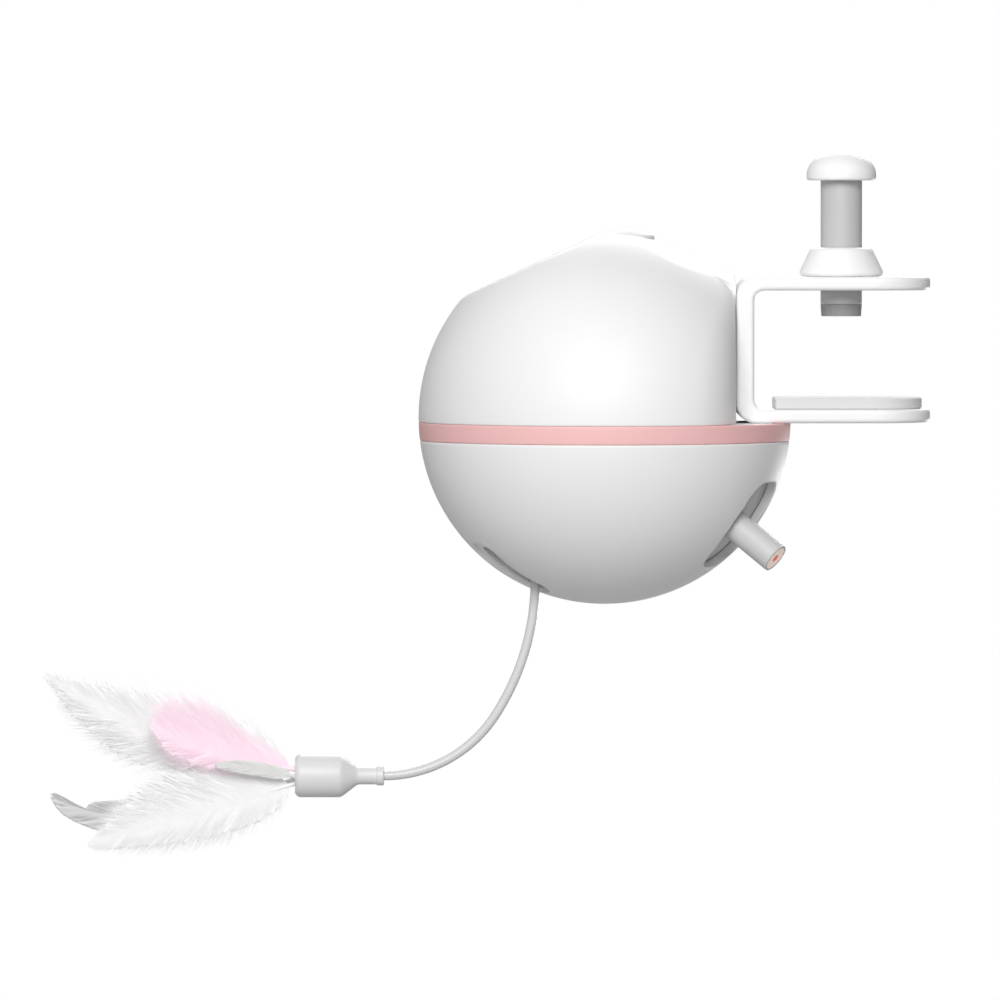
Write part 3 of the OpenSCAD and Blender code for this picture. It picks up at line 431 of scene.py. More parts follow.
def shellRadius(dirs, form, inset):
    # distance of the shell's skin along each direction, found by halving
    low, high = np.full(len(dirs), search["near"]), np.full(len(dirs), search["far"])
    for _ in range(search["halvings"]):
        mid = (low + high) / 2
        p = dirs * mid[:, None]
        f = mid - (ballRadius - inset)
        for n, d, soft in form.get("flats", []):
            f = roundMax(f, p @ np.array(n) - (d - inset), soft)
        if "flat" in form:
            f = roundMax(f, clampSide(form, *p.T, inset), form["flatEdge"])
        if "neck" in form and not inset:
            back, end, half, soft = form["neck"]
            sideEdge, topEdge = form["neckEdges"]
            g = roundMax(np.abs(p[:, 1]) - half, p[:, 0] - end, sideEdge)
            for n, d, _ in form["flats"][1:]:
                g = roundMax(g, p @ np.array(n) - (d - form["neckSink"]), topEdge)
            g = np.maximum(g, back - p[:, 0])
            f = -roundMax(-f, -g, soft)
        low, high = np.where(f < 0, mid, low), np.where(f < 0, high, mid)
    return low


def shellRows(count, form, inset, start, sign):
    # rows from the pole to the rim; sign is 1 for the upper shell and -1 for the lower
    az = np.linspace(0, 2 * math.pi, ballColumns, endpoint=False)
    rows = []
    for e in np.linspace(sign * math.pi / 2, math.asin(start / (ballRadius - inset)), count)[1:]:
        d = np.stack([math.cos(e) * np.cos(az), math.cos(e) * np.sin(az), np.full(ballColumns, math.sin(e))], 1)
        rows.append(d * shellRadius(d, form, inset)[:, None])
    return np.array(rows)


def shellMesh(form, z, sign):
    edge = form["edge"]
    outer = shellRows(form["rows"], form, 0, z + sign * edge, sign)
    inner = shellRows(form["rows"] // 2, form, wallThickness, z, sign)
    reach = np.linalg.norm(outer[-1][:, :2], axis=1)
    turn = outer[-1][:, :2] / reach[:, None]
    rim = []
    for a in np.linspace(0, math.pi / 2, edgeSteps)[1:]:
        r = reach - edge * (1 - math.cos(a))
        rim.append(np.column_stack([turn * r[:, None], np.full(len(r), z + sign * edge * (1 - math.sin(a)))]))
    rows = np.concatenate([outer, np.array(rim), inner[::-1]])
    pole = sign * np.array([0, 0, 1.0])
    ends = [pole * shellRadius(pole[None], form, i)[0] + ballMiddle for i in (0, wallThickness)]
    return gridMesh("shell", rows + ballMiddle, *ends)


def rimSteps(f, edge, clear):
    # growth and depth of a cutter's rings, rounding the mouth and then leaving the surface
    turns = np.linspace(0, math.pi / 2, f["rimSteps"])
    steps = [(edge * (1 - math.cos(a)), edge * (1 - math.sin(a))) for a in turns]
    return steps + [(edge + clear, -f["lift"]), (edge + clear, -f["over"])]


def slotCutter(f, az, top, end, width, corner, edge, depth):
    x, y = ballRadius * math.sin(math.radians(end - top) / 2) - corner, width / 2 - corner
    o = np.array([(i * x + corner * math.cos(a), j * y + corner * math.sin(a), math.cos(a), math.sin(a))
                  for i, j, q in ((1, 1, 0), (-1, 1, 1), (-1, -1, 2), (1, -1, 3))
                  for a in np.linspace(q * math.pi / 2, (q + 1) * math.pi / 2, f["cornerPoints"])])
    inner = [(k, 0, depth) for k in f["floor"]] if depth else [(1, 0, d) for d in f["through"]]
    rows = []
    for k, grow, deep in inner + [(1, g, d) for g, d in rimSteps(f, edge, f["clear"])]:
        u, v = o[:, 0] * k + o[:, 2] * grow, o[:, 1] * k + o[:, 3] * grow
        rows.append(np.stack([u, v, np.sqrt(ballRadius ** 2 - u ** 2 - v ** 2) - deep], 1))
    rows = np.array(rows)
    mesh = gridMesh("slot", rows, (0, 0, ballRadius - depth) if depth else rows[0].mean(0), rows[-1].mean(0))
    turn = Matrix.Rotation(math.radians(az), 4, "Z") @ Matrix.Rotation(math.radians(90 + (top + end) / 2), 4, "Y")
    mesh.transform(Matrix.Translation(ballCentre * mm) @ turn)
    return mesh


def buttonCutter(f):
    a = np.linspace(0, 2 * math.pi, f["holeSides"], endpoint=False)
    rows = []
    for grow, depth in [(0, f["holeDepth"])] + rimSteps(cutterForm, f["holeEdge"], f["holeClear"]):
        px, py = f["buttonX"] + (f["buttonHole"] + grow) * np.cos(a), (f["buttonHole"] + grow) * np.sin(a)
        z = np.sqrt(ballRadius ** 2 - px ** 2 - py ** 2)
        for n, d, _ in f["flats"]:
            z = np.minimum(z, (d - n[0] * px - n[1] * py) / n[2])
        rows.append(np.stack([px, py, z - depth], 1))
    return cappedMesh("hole", np.array(rows) + ballMiddle)


def portCutter(f):
    # round-ended opening of the charge port, in the far side
    (px, pz), (hx, hz) = f["portPlace"], f["portHalf"]
    o = np.array([(s * (hx + hz * math.cos(a)), s * hz * math.sin(a))
                  for s in (1, -1) for a in np.linspace(-math.pi / 2, math.pi / 2, f["portCurve"])])
    rows = np.array([np.stack([o[:, 0] + px, np.full(len(o), y), o[:, 1] + pz], 1) for y in f["portReach"]])
    return cappedMesh("port", rows + ballMiddle)


def ledgeMesh(f):
    # floor under the clamp's lower arm, from inside the wall to the band
    reach, low, high = f["ledge"]
    rows = []
    for a in np.linspace(-f["ledgeTurn"], f["ledgeTurn"], f["ledgeRows"]):
        near, far = search["near"], reach
        for _ in range(search["halvings"]):
            mid = (near + far) / 2
            inside = clampSide(f, mid * math.cos(a), mid * math.sin(a), high, f["ledgeInset"]) < 0
            near, far = (mid, far) if inside else (near, mid)
        if reach - near > f["ledgeLeast"]:
            rows.append([(r * math.cos(a), r * math.sin(a), z)
                         for r, z in ((near, low), (near, high), (reach, high), (reach, low))])
    return cappedMesh("ledge", np.array(rows) + ballMiddle)


def makeShell(name, node, skin, cutters, extras=()):
    shell = newPiece("shell", skin, finishes["white_plastic"])
    cut(shell, cutters)
    bm = bmesh.new()
    for part in (shell.data, *extras):
        bm.from_mesh(part)
    bpy.data.objects.remove(shell)
    mesh = toMesh(bm, name)
    smoothMesh(mesh)
    standFor(newPiece(name, mesh, finishes["white_plastic"]), node)


def makeUpperShell(f):
    extras = [ledgeMesh(f)]
    (bore, rim), z, top = f["postRadii"], f["postFoot"], f["postTop"]
    for a in f["postAngles"]:
        c = Vector((math.cos(math.radians(a)), math.sin(math.radians(a)), 0)) * f["postRing"] + ballCentre
        extras.append(lathe("post", [(bore, z), (rim, z), (rim, top), (bore, top)], f["postSides"], c))
    extras += [block(across, f["sleeveDepth"], up) for across, up in f["sleeve"]]
    makeShell("upperShell", "upper_shell", shellMesh(f, f["bottom"], 1), [buttonCutter(f), portCutter(f)], extras)


def makeLowerShell(f):
    cutters = [slotCutter(cutterForm, *f[s]) for s in ("laserSlot", "recess", "wireSlot")]
    makeShell("lowerShell", "lower_shell", shellMesh(f, f["top"], -1), cutters)


def makeBand(f):
    top, end, edge = f["top"], f["end"], f["edge"]

    def radius(z):
        return math.sqrt(ballRadius ** 2 - z * z)

    def corner(z, start):
        return [(radius(z) - edge + edge * math.cos(a), z + edge * math.sin(a))
                for a in np.linspace(start, start + math.pi / 2, edgeSteps)]

    ring = corner(end + edge, -math.pi / 2)
    ring += [(radius(z), z) for z in np.linspace(end + edge, top - edge, f["rows"])[1:-1]]
    ring += corner(top - edge, 0) + [(f["inner"], top), (f["inner"], end)]
    mesh = lathe("band", ring, ballColumns, ballCentre)
    smoothMesh(mesh)
    standFor(newPiece("accentBand", mesh, finishes["pink_plastic"]), "accent_band")


makeUpperShell(upperForm)
makeLowerShell(lowerForm)
makeBand(bandForm)
print("ball made")

# these keep their CAD shapes, with edges rounded by so many mm
edgeRounding = {
    "clamp_bracket": 1.0, "clamp_pad": 0.5, "clamp_collar": 0.25, "clamp_screw": 0.06, "clamp_knob": 0.3,
    "screw_foot": 0.06, "power_button": 0.3, "laser_tube": 0.4, "laser_window": 0.12, "laser_aperture": 0.2,
    "quill_plug": 0.15, "charge_port": 0.1, "feather_arm": 0.15, "laser_carrier": 0.15,
}
raisedTop = {"screw_foot": 0.22}  # mm, up to the screw that turns on it
keepWidth = {"clamp_bracket"}  # its short edges would narrow the rounding everywhere
for node, width in edgeRounding.items():
    softened(node, width, raisedTop.get(node, 0), node not in keepWidth)

# the shutter's outer face, taken closer to the lower shell so that no dark line shows round the slot
shutterForm = {"middle": 41.5, "outer": 42.65}


def makeShutter(f):
    bm = bmesh.new()
    bm.from_mesh(nodes["laser_shutter"].data)
    bmesh.ops.remove_doubles(bm, verts=bm.verts, dist=cadWeld)
    centre = ballCentre * mm
    for v in bm.verts:
        out = v.co - centre
        if out.length > f["middle"] * mm:
            v.co = centre + out.normalized() * f["outer"] * mm
    mesh = toMesh(bm, "shutter")
    smoothMesh(mesh)
    standFor(newPiece("laserShutter", mesh, ownFinish["laser_shutter"]), "laser_shutter")


makeShutter(shutterForm)
print("clamp, laser and small pieces made")


def grown(name, mesh, tree, values):
    # runs a tree on a mesh and bakes it
    obj = placed(name, mesh)
    mod = obj.modifiers.new("grow", "NODES")
    mod.node_group = tree
    for s in tree.interface.items_tree:
        if s.item_type == "SOCKET" and s.in_out == "INPUT" and s.name in values:
            mod[s.identifier] = values[s.name]
    bake(obj)
    return obj


def newTree(name, inputs):
    tree = bpy.data.node_groups.new(name, "GeometryNodeTree")
    tree.interface.new_socket("Geometry", in_out="INPUT", socket_type="NodeSocketGeometry")
    for n, kind, value in inputs:
        s = tree.interface.new_socket(n, in_out="INPUT", socket_type=kind)
        if value is not None:
            s.default_value = value
    tree.interface.new_socket("Geometry", in_out="OUTPUT", socket_type="NodeSocketGeometry")
    return tree, tree.nodes.new("NodeGroupInput"), tree.nodes.new("NodeGroupOutput")


def closeTree(tree, gi, go, geometry):
    # ends a tree with real geometry in the material that it is given
    link = tree.links.new
    solid = addNode(tree, "GeometryNodeRealizeInstances")
    paint = addNode(tree, "GeometryNodeSetMaterial")
    link(geometry, solid.inputs["Geometry"])
    link(solid.outputs["Geometry"], paint.inputs["Geometry"])
    link(gi.outputs["Finish"], paint.inputs["Material"])
    link(paint.outputs["Geometry"], go.inputs["Geometry"])
    return tree


# wire: straight out of the ball, round two bends and into the socket
wireForm = {"x": -16.8045, "y": -6.4506, "top": -18.1, "swayRadius": 60.0, "swayTurn": 33.0, "bendRadius": 32.0,
            "socketLevel": -86.3, "tail": 8.0, "diameter": 2.24, "sides": 24, "straightSteps": 12, "bendSteps": 36}


def wireTree():
    tree, gi, go = newTree("roundWire", [("Radius", "NodeSocketFloat", 0.001), ("Sides", "NodeSocketInt", 16),
                                         ("Finish", "NodeSocketMaterial", None)])
    link = tree.links.new
    path = addNode(tree, "GeometryNodeMeshToCurve")
    ring = addNode(tree, "GeometryNodeCurvePrimitiveCircle")
    sweep = addNode(tree, "GeometryNodeCurveToMesh", {"Fill Caps": True})
    link(gi.outputs["Geometry"], path.inputs["Mesh"])
    link(gi.outputs["Sides"], ring.inputs["Resolution"])
    link(gi.outputs["Radius"], ring.inputs["Radius"])
    link(path.outputs["Curve"], sweep.inputs["Curve"])
    link(ring.outputs["Curve"], sweep.inputs["Profile Curve"])
    return closeTree(tree, gi, go, sweep.outputs["Mesh"])


def makeWire(w):
    x, y, z, turn = w["x"], w["y"], w["socketLevel"], math.radians(w["swayTurn"])
    big, small = w["swayRadius"], w["bendRadius"]
    low = z + small
    start = low + (big - small) * math.sin(turn)
    near = x - big + (big - small) * math.cos(turn)
    path = [(x, y, h) for h in np.linspace(w["top"], start, w["straightSteps"])]
    path += [(x - big + big * math.cos(a), y, start - big * math.sin(a))
             for a in np.linspace(0, turn, w["bendSteps"])[1:]]
    path += [(near + small * math.cos(a), y, low - small * math.sin(a))
             for a in np.linspace(turn, math.pi / 2, w["bendSteps"])[1:]]
    path.append((near - w["tail"], y, z))
    mesh = bpy.data.meshes.new("wirePath")
    mesh.from_pydata([(Vector(p) + ballCentre) * mm for p in path], [(i, i + 1) for i in range(len(path) - 1)], [])
    wire = grown("featherWire", mesh, wireTree(),
                 {"Radius": w["diameter"] / 2 * mm, "Sides": w["sides"], "Finish": finishes["wire_sleeve"]})
    smoothMesh(turnedOut(wire.data))
    standFor(wire, "feather_wire")


makeWire(wireForm)

# socket along the wire, from the feathers' side; shoulder and coneEnd are [outward, onward] from body and cone
socketForm = {
    "mouth": (-131.9217, -6.4506, -91.3), "radius": 5.2, "bore": 4.2, "depth": 6.0, "body": 11.4, "cone": 14.9,
    "neckRadius": 2.1, "ring": 19.6, "ringRadius": 2.35, "length": 21.4, "wireHole": 1.15, "round": 1.3, "lip": 0.25,
    "shoulder": [(0, -0.8), (-0.15, -0.25), (-0.5, 0.3)], "coneEnd": [(0.5, -0.5), (0.15, 0), (0, 0.6)],
    "ringStep": 0.2, "ringRound": 0.3, "sides": 96, "sharpAngle": 50,
}


def arcPoints(cx, cy, r, start, end, count=7):
    return [(cx + r * math.cos(math.radians(a)), cy + r * math.sin(math.radians(a)))
            for a in np.linspace(start, end, count)]


def makeSocket(f):
    r, e, lip, small = f["radius"], f["round"], f["lip"], f["ringRound"]
    ring = [(f["bore"], f["depth"]), (f["bore"], lip), (f["bore"] + lip, 0)]
    ring += arcPoints(r - e, e, e, -90, 0)
    ring += [(r + out, f["body"] + on) for out, on in f["shoulder"]]
    ring += [(f["neckRadius"] + out, f["cone"] + on) for out, on in f["coneEnd"]]
    ring += [(f["neckRadius"], f["ring"]), (f["ringRadius"], f["ring"] + f["ringStep"])]
    ring += arcPoints(f["ringRadius"] - small, f["length"] - small, small, 0, 90)
    ring += [(f["wireHole"], f["length"]), (f["wireHole"], f["depth"])]
    mesh = lathe("socket", ring, f["sides"], (0, 0, 0))
    mesh.transform(Matrix.Translation(Vector(f["mouth"]) * mm) @ Matrix.Rotation(math.pi / 2, 4, "Y"))
    smoothMesh(mesh, f["sharpAngle"])
    standFor(newPiece("featherSocket", mesh, finishes["pale_plastic"]), "feather_socket")


makeSocket(socketForm)
print("wire and socket made")

# feathers, in mm from the socket's mouth: quill [y, up], bend and tip [out, up] of the shaft and its sideways spread;
# outline [out, up] of the vane; barbs a side, their angle at the root and the tip of the shaft, looseness and lift;
# how far the thin vane under the barbs fills the outline
socketMouth = Vector(socketForm["mouth"])
barbForm = {"rings": 4, "bend": 0.2, "width": 0.008, "thick": 0.004, "taper": 0.6}  # shares of a barb's length
shaftForm = {"steps": 150, "first": 0.03, "ends": (0.5, 0.985, 98)}  # its end is sought between the first two
# vane, in mm and shares of it; runs are lengths of running means from barb to barb
vaneForm = {"columns": 9, "outlineSteps": 6, "ragged": 0.9, "wave": 0.25, "thick": 0.09, "thinning": 0.04,
            "streakRuns": (3, 9), "waveRun": 5, "spare": 8, "leastReach": 0.02, "noReach": 0.3, "parallel": 1e-9}
stemForm = {"sides": 8, "inPlug": 5, "steps": 40, "reach": 0.9, "radius": 0.6, "least": 0.16, "taper": 0.12}
firstSeed, seedStep = 11, 7
feathers = {
    "upper_white_feather": {
        "quill": (1.0, 1.9), "bend": (30, 3.5), "tip": (61, 24.5), "spread": 0.06,
        "outline": [(-0.5, 1.6), (1.9, 4.6), (8, 10.6), (16, 16.2), (24, 19.6), (33, 21.9), (41, 23), (48.7, 23.6),
                    (55, 24.3), (61.2, 24.8), (59.5, 20), (56.7, 14.1), (53, 9.8), (48.7, 6.1), (44, 3.2), (38.6, 0.8),
                    (30, -1), (20, -1.2), (8, 0.2)],
        "barbs": 1500, "angle": (66, 30), "loose": 0.22, "lift": 0.08, "fill": 0.82},
    "pink_feather": {
        "quill": (-1.6, 1.6), "bend": (18, 4), "tip": (36.5, 13), "spread": -0.10,
        "outline": [(-0.5, 1.2), (2, 4.2), (6, 7), (10.5, 9.6), (17, 13.6), (23.5, 18), (28, 20), (32.6, 20.4),
                    (34.6, 17), (35.2, 13), (34.6, 8.6), (33.2, 5), (27, 2.2), (19, 0.9), (8, 0.2)],
        "barbs": 1300, "angle": (56, 40), "loose": 0.26, "lift": 0.08, "fill": 0.76},
    "lower_white_feather": {
        "quill": (-0.9, -1.8), "bend": (25, -9.5), "tip": (51, -16.5), "spread": -0.03,
        "outline": [(-0.5, -0.6), (4, 1), (12, 1.8), (22, 2.6), (30, 2.9), (36, 2.2), (41, -1.4), (45, -6.2),
                    (48, -11.5), (50.2, -17.4), (45, -18.7), (33, -18.8), (25, -18), (17.5, -16.4), (11, -13.6),
                    (5, -9.6), (1, -5)],
        "barbs": 1500, "angle": (66, 34), "loose": 0.22, "lift": 0.08, "fill": 0.82},
    "grey_feather": {
        "quill": (2.4, -0.8), "bend": (40, -17), "tip": (59.5, -5.6), "spread": 0.12,
        "outline": [(-0.5, -0.4), (12, -2.8), (24, -5.2), (36, -5.6), (44, -6.4), (49.6, -7), (51.4, -8.4),
                    (53.6, -7.4), (56.6, -6), (58.6, -4.8), (59.8, -5.4), (58.8, -7.8), (56.5, -10.4), (52.6, -12.4),
                    (48.3, -13.9), (40, -14.6), (28, -12.6), (14, -7.8)],
        "barbs": 700, "angle": (40, 24), "loose": 0.04, "lift": 0.04, "fill": 0.98},
    "covert_feather": {
        "quill": (-3.1, 0), "bend": (9, 2.4), "tip": (19, 2.9), "spread": -0.13,
        "outline": [(-0.4, 0.4), (4, 2.6), (9, 3.7), (14, 4.2), (18, 3.7), (19.3, 2.9), (18, 1.9), (14, 1), (9, 0.2),
                    (4, -0.5)],
        "barbs": 450, "angle": (36, 20), "loose": 0.05, "lift": 0.05, "fill": 0.97},
}


def barbMesh(f):
    # one barb of unit length along X: a three-sided ribbon that thins to a point and curves to -Y
    verts, faces, along = [], [], []
    for i in range(f["rings"]):
        t = i / f["rings"]
        w = f["width"] * (1 - f["taper"] * t)
        for a in (math.radians(90), math.radians(210), math.radians(330)):
            verts.append((t, -f["bend"] * t * t + w * math.sin(a), f["thick"] * math.cos(a)))
            along.append(t)
    tip = len(verts)
    verts.append((1, -f["bend"], 0))
    along.append(1.0)
    faces.append((0, 2, 1))
    for i in range(f["rings"] - 1):
        faces += [(i * 3 + k, i * 3 + (k + 1) % 3, i * 3 + (k + 1) % 3 + 3, i * 3 + k + 3) for k in range(3)]
    faces += [(tip - 3 + k, tip - 3 + (k + 1) % 3, tip) for k in range(3)]
    mesh = bpy.data.meshes.new("barb")
    mesh.from_pydata(verts, [], faces)
    turnedOut(mesh)
    setField(mesh, "along", along)
    return mesh


def plumeTree():
    # barbs on both flanks of a shaft, whose points carry the vane's facing, the barbs' angle and their reach
    tree, gi, go = newTree("plume", [
        ("Barbs", "NodeSocketInt", 500), ("Loose", "NodeSocketFloat", 0.2), ("Lift", "NodeSocketFloat", 0.1),
        ("Shortest", "NodeSocketFloat", 0.6), ("Longest", "NodeSocketFloat", 1.04), ("Seed", "NodeSocketInt", 1),
        ("Barb", "NodeSocketObject", None), ("Finish", "NodeSocketMaterial", None)])
    link = tree.links.new

    def feed(value, socket):
        if isinstance(value, (int, float)):
            socket.default_value = value
        else:
            link(value, socket)

    def calc(op, a, b=None):
        n = addNode(tree, "ShaderNodeMath", operation=op)
        feed(a, n.inputs[0])
        if b is not None:
            feed(b, n.inputs[1])
        return n.outputs[0]

    def scaled(vector, factor):
        n = addNode(tree, "ShaderNodeVectorMath", operation="SCALE")
        link(vector, n.inputs[0])
        feed(factor, n.inputs["Scale"])
        return n.outputs[0]

    def added(a, b):
        n = addNode(tree, "ShaderNodeVectorMath", operation="ADD")
        link(a, n.inputs[0])
        link(b, n.inputs[1])
        return n.outputs[0]

    def chance(low, high, offset):
        n = addNode(tree, "FunctionNodeRandomValue", data_type="FLOAT")
        feed(low, n.inputs[2])
        feed(high, n.inputs[3])
        link(calc("ADD", gi.outputs["Seed"], offset), n.inputs["Seed"])
        return n.outputs[1]

    def named(name, kind="FLOAT"):
        n = addNode(tree, "GeometryNodeInputNamedAttribute", data_type=kind)
        n.inputs["Name"].default_value = name
        return n.outputs["Attribute"]

    path = addNode(tree, "GeometryNodeMeshToCurve")
    link(gi.outputs["Geometry"], path.inputs["Mesh"])
    spread = addNode(tree, "GeometryNodeCurveToPoints", mode="COUNT")
    link(path.outputs["Curve"], spread.inputs["Curve"])
    link(gi.outputs["Barbs"], spread.inputs["Count"])
    facing = named("facing", "FLOAT_VECTOR")
    info = addNode(tree, "GeometryNodeObjectInfo")
    link(gi.outputs["Barb"], info.inputs["Object"])
    across = addNode(tree, "ShaderNodeVectorMath", operation="CROSS_PRODUCT")
    link(facing, across.inputs[0])
    link(spread.outputs["Tangent"], across.inputs[1])
    both = addNode(tree, "GeometryNodeJoinGeometry")
    # flank, its reach and where its random draws start
    for side, reach, shift in ((1, "reachLow", 10), (-1, "reachHigh", 50)):
        swing = calc("ADD", named("splay"), calc("MULTIPLY", chance(-1, 1, shift), gi.outputs["Loose"]))
        rise = calc("MULTIPLY", chance(-1, 1, shift + 1), gi.outputs["Lift"])
        d = added(scaled(spread.outputs["Tangent"], calc("COSINE", swing)),
                  scaled(across.outputs[0], calc("MULTIPLY", calc("SINE", swing), side)))
        d = added(d, scaled(facing, rise))
        turn = addNode(tree, "FunctionNodeAxesToRotation", primary_axis="X", secondary_axis="Z")
        link(d, turn.inputs["Primary Axis"])
        link(scaled(facing, side), turn.inputs["Secondary Axis"])
        length = calc("MULTIPLY", named(reach), chance(gi.outputs["Shortest"], gi.outputs["Longest"], shift + 2))
        size = addNode(tree, "ShaderNodeCombineXYZ")
        for i in range(3):
            link(length, size.inputs[i])
        put = addNode(tree, "GeometryNodeInstanceOnPoints")
        link(spread.outputs["Points"], put.inputs["Points"])
        link(info.outputs["Geometry"], put.inputs["Instance"])
        link(turn.outputs["Rotation"], put.inputs["Rotation"])
        link(size.outputs[0], put.inputs["Scale"])
        done = put.outputs["Instances"]
        for name, value in (("tone", chance(0.0, 1.0, shift + 3)), ("flank", 0.0 if side > 0 else 1.0)):
            mark = addNode(tree, "GeometryNodeStoreNamedAttribute", data_type="FLOAT", domain="INSTANCE")
            mark.inputs["Name"].default_value = name
            link(done, mark.inputs["Geometry"])
            feed(value, mark.inputs["Value"])
            done = mark.outputs["Geometry"]
        link(done, both.inputs["Geometry"])
    return closeTree(tree, gi, go, both.outputs["Geometry"])


def shaftFlat(f, t):
    # place and direction of the shaft in the vane's plane, [out, up]
    q, b, p = np.array((0, f["quill"][1])), np.array(f["bend"]), np.array(f["tip"])
    d = 2 * (1 - t) * (b - q) + 2 * t * (p - b)
    return (1 - t) ** 2 * q + 2 * t * (1 - t) * b + t * t * p, d / np.linalg.norm(d)


def inSpace(f, flat):
    return Vector((-flat[0], f["quill"][0] + f["spread"] * flat[0], flat[1])) + socketMouth


def vaneOutline(f):
    # smooth closed line through the outline's points
    p = np.array(f["outline"], float)
    a, b, c, d = np.roll(p, 1, 0), p, np.roll(p, -1, 0), np.roll(p, -2, 0)
    t = np.linspace(0, 1, vaneForm["outlineSteps"], endpoint=False)[None, :, None]
    a, b, c, d = (v[:, None] for v in (a, b, c, d))
    line = b + 0.5 * t * (c - a + t * (2 * a - 5 * b + 4 * c - d + t * (3 * (b - c) + d - a)))
    return line.reshape(-1, 2)


def holds(outline, p):
    # whether a point lies inside the outline
    a, b = outline, np.roll(outline, -1, 0)
    over = (a[:, 1] > p[1]) != (b[:, 1] > p[1])
    x = a[:, 0] + (p[1] - a[:, 1]) * (b[:, 0] - a[:, 0]) / np.where(over, b[:, 1] - a[:, 1], 1)
    return (over & (p[0] < x)).sum() % 2 == 1


def distanceTo(outline, p, d):
    # how far a ray runs inside the outline
    a, b = outline, np.roll(outline, -1, 0)
    e = b - a
    cross = d[0] * e[:, 1] - d[1] * e[:, 0]
    least = vaneForm["parallel"]
    cross = np.where(np.abs(cross) < least, least, cross)
    w = a - p
    s = (w[:, 0] * e[:, 1] - w[:, 1] * e[:, 0]) / cross
    u = (w[:, 0] * d[1] - w[:, 1] * d[0]) / cross
    hit = s[(u >= 0) & (u <= 1) & (s > vaneForm["leastReach"])]
    return hit.min() if len(hit) else vaneForm["noReach"]


def facingOf(f):
    return Vector((-f["spread"], -1, 0)).normalized()


def runMean(values, count):
    return np.convolve(values, np.ones(count) / count, "same")


def vaneMesh(f, roots, seed):
    # thin closed vane whose streaks run along the barbs
    w = vaneForm
    chance = np.random.default_rng(seed)
    facing = np.array(facingOf(f))
    streak = chance.random(len(roots) + w["spare"])
    streak = sum(runMean(streak, n) for n in w["streakRuns"])
    streak = (streak - streak.min()) / np.ptp(streak)
    ragged = chance.random(len(roots))
    wave = runMean(chance.normal(0, 1, len(roots) + w["spare"]), w["waveRun"])
    half = np.linspace(0, 1, w["columns"])
    fractions = np.concatenate([-half[::-1], half[1:]])
    front, back, marks = [], [], []
    for i, (p, d, a, high, low) in enumerate(roots):
        n = np.array((-d[1], d[0]))
        for q in fractions:
            side, reach = (1, high) if q > 0 else (-1, low)
            k = abs(q) * f["fill"] * (1 - w["ragged"] * f["loose"] * ragged[i])
            out = d * math.cos(a) + side * n * math.sin(a)
            ahead = -side * n * math.cos(a) + d * math.sin(a)
            flat = p + out * (k * reach) + ahead * (barbForm["bend"] * k * k * reach)
            place = np.array(inSpace(f, flat)) + facing * (w["wave"] * wave[i] * abs(q))
            thick = w["thick"] - w["thinning"] * abs(q)
            front.append(place + facing * thick)
            back.append(place - facing * thick)
            marks.append((abs(q) ** 2, streak[i], 1.0 if q > 0 else 0.0))
    cols, rows = len(fractions), len(roots)
    off = rows * cols

    def cell(i, j):
        return i * cols + j

    faces = []
    for i in range(rows - 1):
        for j in range(cols - 1):
            quad = (cell(i, j), cell(i + 1, j), cell(i + 1, j + 1), cell(i, j + 1))
            faces += [quad, tuple(off + k for k in reversed(quad))]
    rim = [cell(0, j) for j in range(cols)] + [cell(i, cols - 1) for i in range(1, rows)]
    rim += [cell(rows - 1, j) for j in range(cols - 2, -1, -1)] + [cell(i, 0) for i in range(rows - 2, 0, -1)]
    faces += [(a, b, b + off, a + off) for a, b in zip(rim, rim[1:] + rim[:1])]
    mesh = bpy.data.meshes.new("vane")
    mesh.from_pydata((np.array(front + back) * mm).tolist(), [], faces)
    for k, name in enumerate(fibreFields):
        setField(mesh, name, [m[k] for m in marks + marks])
    bm = bmesh.new()
    bm.from_mesh(mesh)
    bmesh.ops.recalc_face_normals(bm, faces=bm.faces)
    for face in bm.faces:
        face.smooth = True
    bm.to_mesh(mesh)
    bm.free()
    return mesh


def stemMesh(f):
    # thin tapering shaft from the quill in the plug
    s = stemForm
    sides, last = s["sides"], s["steps"] + 1
    level = Vector((0, 1, 0))
    stem = [socketMouth + Vector((s["inPlug"], *f["quill"]))]
    stem += [inSpace(f, shaftFlat(f, s["reach"] * i / s["steps"])[0]) for i in range(last)]
    rows = []
    for i, p in enumerate(stem):
        ahead = (stem[min(i + 1, last)] - stem[max(i - 1, 0)]).normalized()
        side = ahead.cross(level).normalized()
        r = s["radius"] * max(s["least"], 1 - s["taper"] * max(i - 1, 0))
        turns = [math.tau * k / sides for k in range(sides)]
        rows.append([list(p + (side * math.cos(a) + level * math.sin(a)) * r) for a in turns])
    mesh = cappedMesh("stem", np.array(rows))
    for name in fibreFields:
        mesh.attributes.new(name, "FLOAT", "POINT")
    return mesh


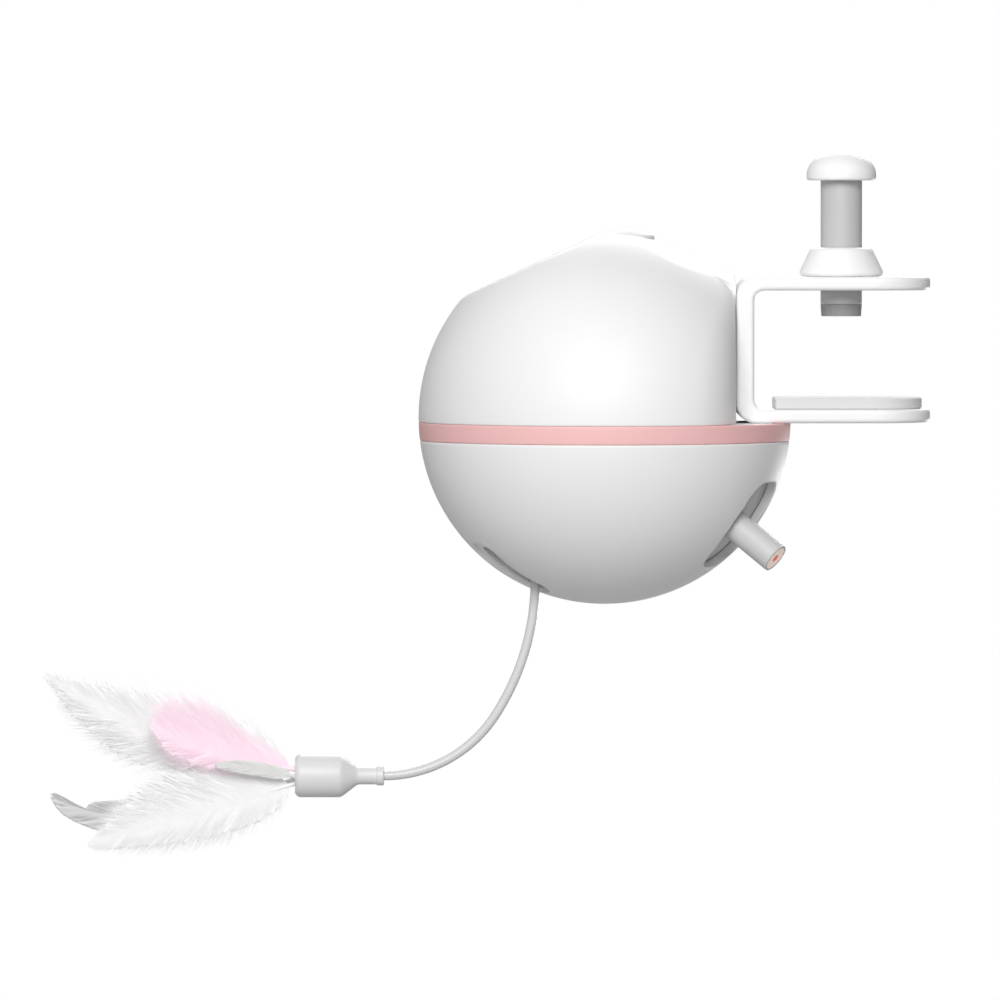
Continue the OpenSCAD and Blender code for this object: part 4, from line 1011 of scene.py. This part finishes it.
def makeFeather(node, f, tree, barb, seed):
    steps = shaftForm["steps"]
    outline = vaneOutline(f)
    lag = math.atan(barbForm["bend"])  # a barb's tip lies ahead of where its root points
    stretch = math.hypot(1, barbForm["bend"])
    end = max(t for t in np.linspace(*shaftForm["ends"]) if holds(outline, shaftFlat(f, t)[0]))
    roots = []
    for t in np.linspace(shaftForm["first"], end, steps + 1):
        p, d = shaftFlat(f, t)
        n = np.array((-d[1], d[0]))
        a = math.radians(f["angle"][0] + (f["angle"][1] - f["angle"][0]) * t)
        high, low = (distanceTo(outline, p, d * math.cos(a - lag) + side * n * math.sin(a - lag)) / stretch
                     for side in (1, -1))
        roots.append((p, d, a, high, low))
    mesh = bpy.data.meshes.new("shaft")
    mesh.from_pydata([inSpace(f, r[0]) * mm for r in roots], [(i, i + 1) for i in range(steps)], [])
    setField(mesh, "splay", [r[2] for r in roots])
    setField(mesh, "reachHigh", [r[3] * mm for r in roots])
    setField(mesh, "reachLow", [r[4] * mm for r in roots])
    facing = mesh.attributes.new("facing", "FLOAT_VECTOR", "POINT")
    facing.data.foreach_set("vector", list(facingOf(f)) * (steps + 1))
    plume = grown(node + ".plume", mesh, tree, {"Barbs": f["barbs"], "Loose": f["loose"], "Lift": f["lift"],
                                                "Seed": seed, "Barb": barb, "Finish": fibres[node]})
    bm = bmesh.new()
    for part in (plume.data, vaneMesh(f, roots, seed), stemMesh(f)):
        bm.from_mesh(part)
    bm.to_mesh(plume.data)
    bm.free()
    plume.data.materials.clear()
    plume.data.materials.append(fibres[node])
    plume.data.polygons.foreach_set("material_index", [0] * len(plume.data.polygons))
    standFor(plume, node)
    print(node, len(plume.data.polygons), "faces")


barbObject = bpy.data.objects.new("barb", barbMesh(barbForm))
plumeNodes = plumeTree()
for i, (node, f) in enumerate(feathers.items()):
    makeFeather(node, f, plumeNodes, barbObject, firstSeed + seedStep * i)
print("feathers made")

# lights: place and target in mm, size in mm, power in watts
lights = {
    "key": ((-133, -1448, 676), (-57, 0, -10), (1000, 700), 20.5),
    "back": ((106, 924, 554), (-57, 0, 10), (700, 500), 7),
    "rim": ((227, 540, -112), (-17, 0, -25), (200, 60), 0.5),
}


def areaLight(name, place, target, size, power):
    light = placed(name, bpy.data.lights.new(name, "AREA"))
    light.location = Vector(place) * mm
    pointAlong(light, Vector(target) - Vector(place))
    light.data.shape = "RECTANGLE"
    light.data.size, light.data.size_y = size[0] * mm, size[1] * mm
    light.data.energy = power


def seenWhite(tree, shader, white, output):
    # plain white to the camera, the given shader to everything else
    path = addNode(tree, "ShaderNodeLightPath")
    mix = addNode(tree, "ShaderNodeMixShader")
    tree.links.new(path.outputs["Is Camera Ray"], mix.inputs[0])
    tree.links.new(shader.outputs[0], mix.inputs[1])
    tree.links.new(white.outputs[0], mix.inputs[2])
    tree.links.new(mix.outputs[0], output)


def makeStudio(s):
    backdrop = {"Color": (*s["backdrop"], 1)}
    mesh = bpy.data.meshes.new("floor")
    half, z = s["floorHalf"] * mm, s["floorLevel"] * mm
    mesh.from_pydata([(-half, -half, z), (half, -half, z), (half, half, z), (-half, half, z)], [], [(0, 1, 2, 3)])
    pale = moulded("paleFloor", (s["floorTone"],) * 3, (s["floorShade"],) * 3, s["floorRoughness"])
    t = pale.node_tree
    white = addNode(t, "ShaderNodeEmission", backdrop)
    seenWhite(t, t.nodes["Principled BSDF"], white, t.nodes["Material Output"].inputs["Surface"])
    newPiece("floor", mesh, pale)
    world = bpy.data.worlds.new("studio")
    scene.world = world
    world.use_nodes = True
    t = world.node_tree
    soft = t.nodes["Background"]
    setSockets(soft, backdrop)
    view = addNode(t, "ShaderNodeNewGeometry")
    apart = addNode(t, "ShaderNodeSeparateXYZ")
    (start, stop), (left, right) = s["fillTurn"], s["fill"]
    level = addNode(t, "ShaderNodeMapRange", {"From Min": start, "From Max": stop, "To Min": left, "To Max": right},
                    interpolation_type="SMOOTHSTEP")
    t.links.new(view.outputs["Incoming"], apart.inputs[0])
    t.links.new(apart.outputs["X"], level.inputs["Value"])
    t.links.new(level.outputs["Result"], soft.inputs["Strength"])
    white = addNode(t, "ShaderNodeBackground", backdrop)
    seenWhite(t, soft, white, t.nodes["World Output"].inputs["Surface"])
    scene.view_settings.view_transform = "Standard"


makeStudio(studio)
for name, values in lights.items():
    areaLight(name, *values)
print("studio lit")
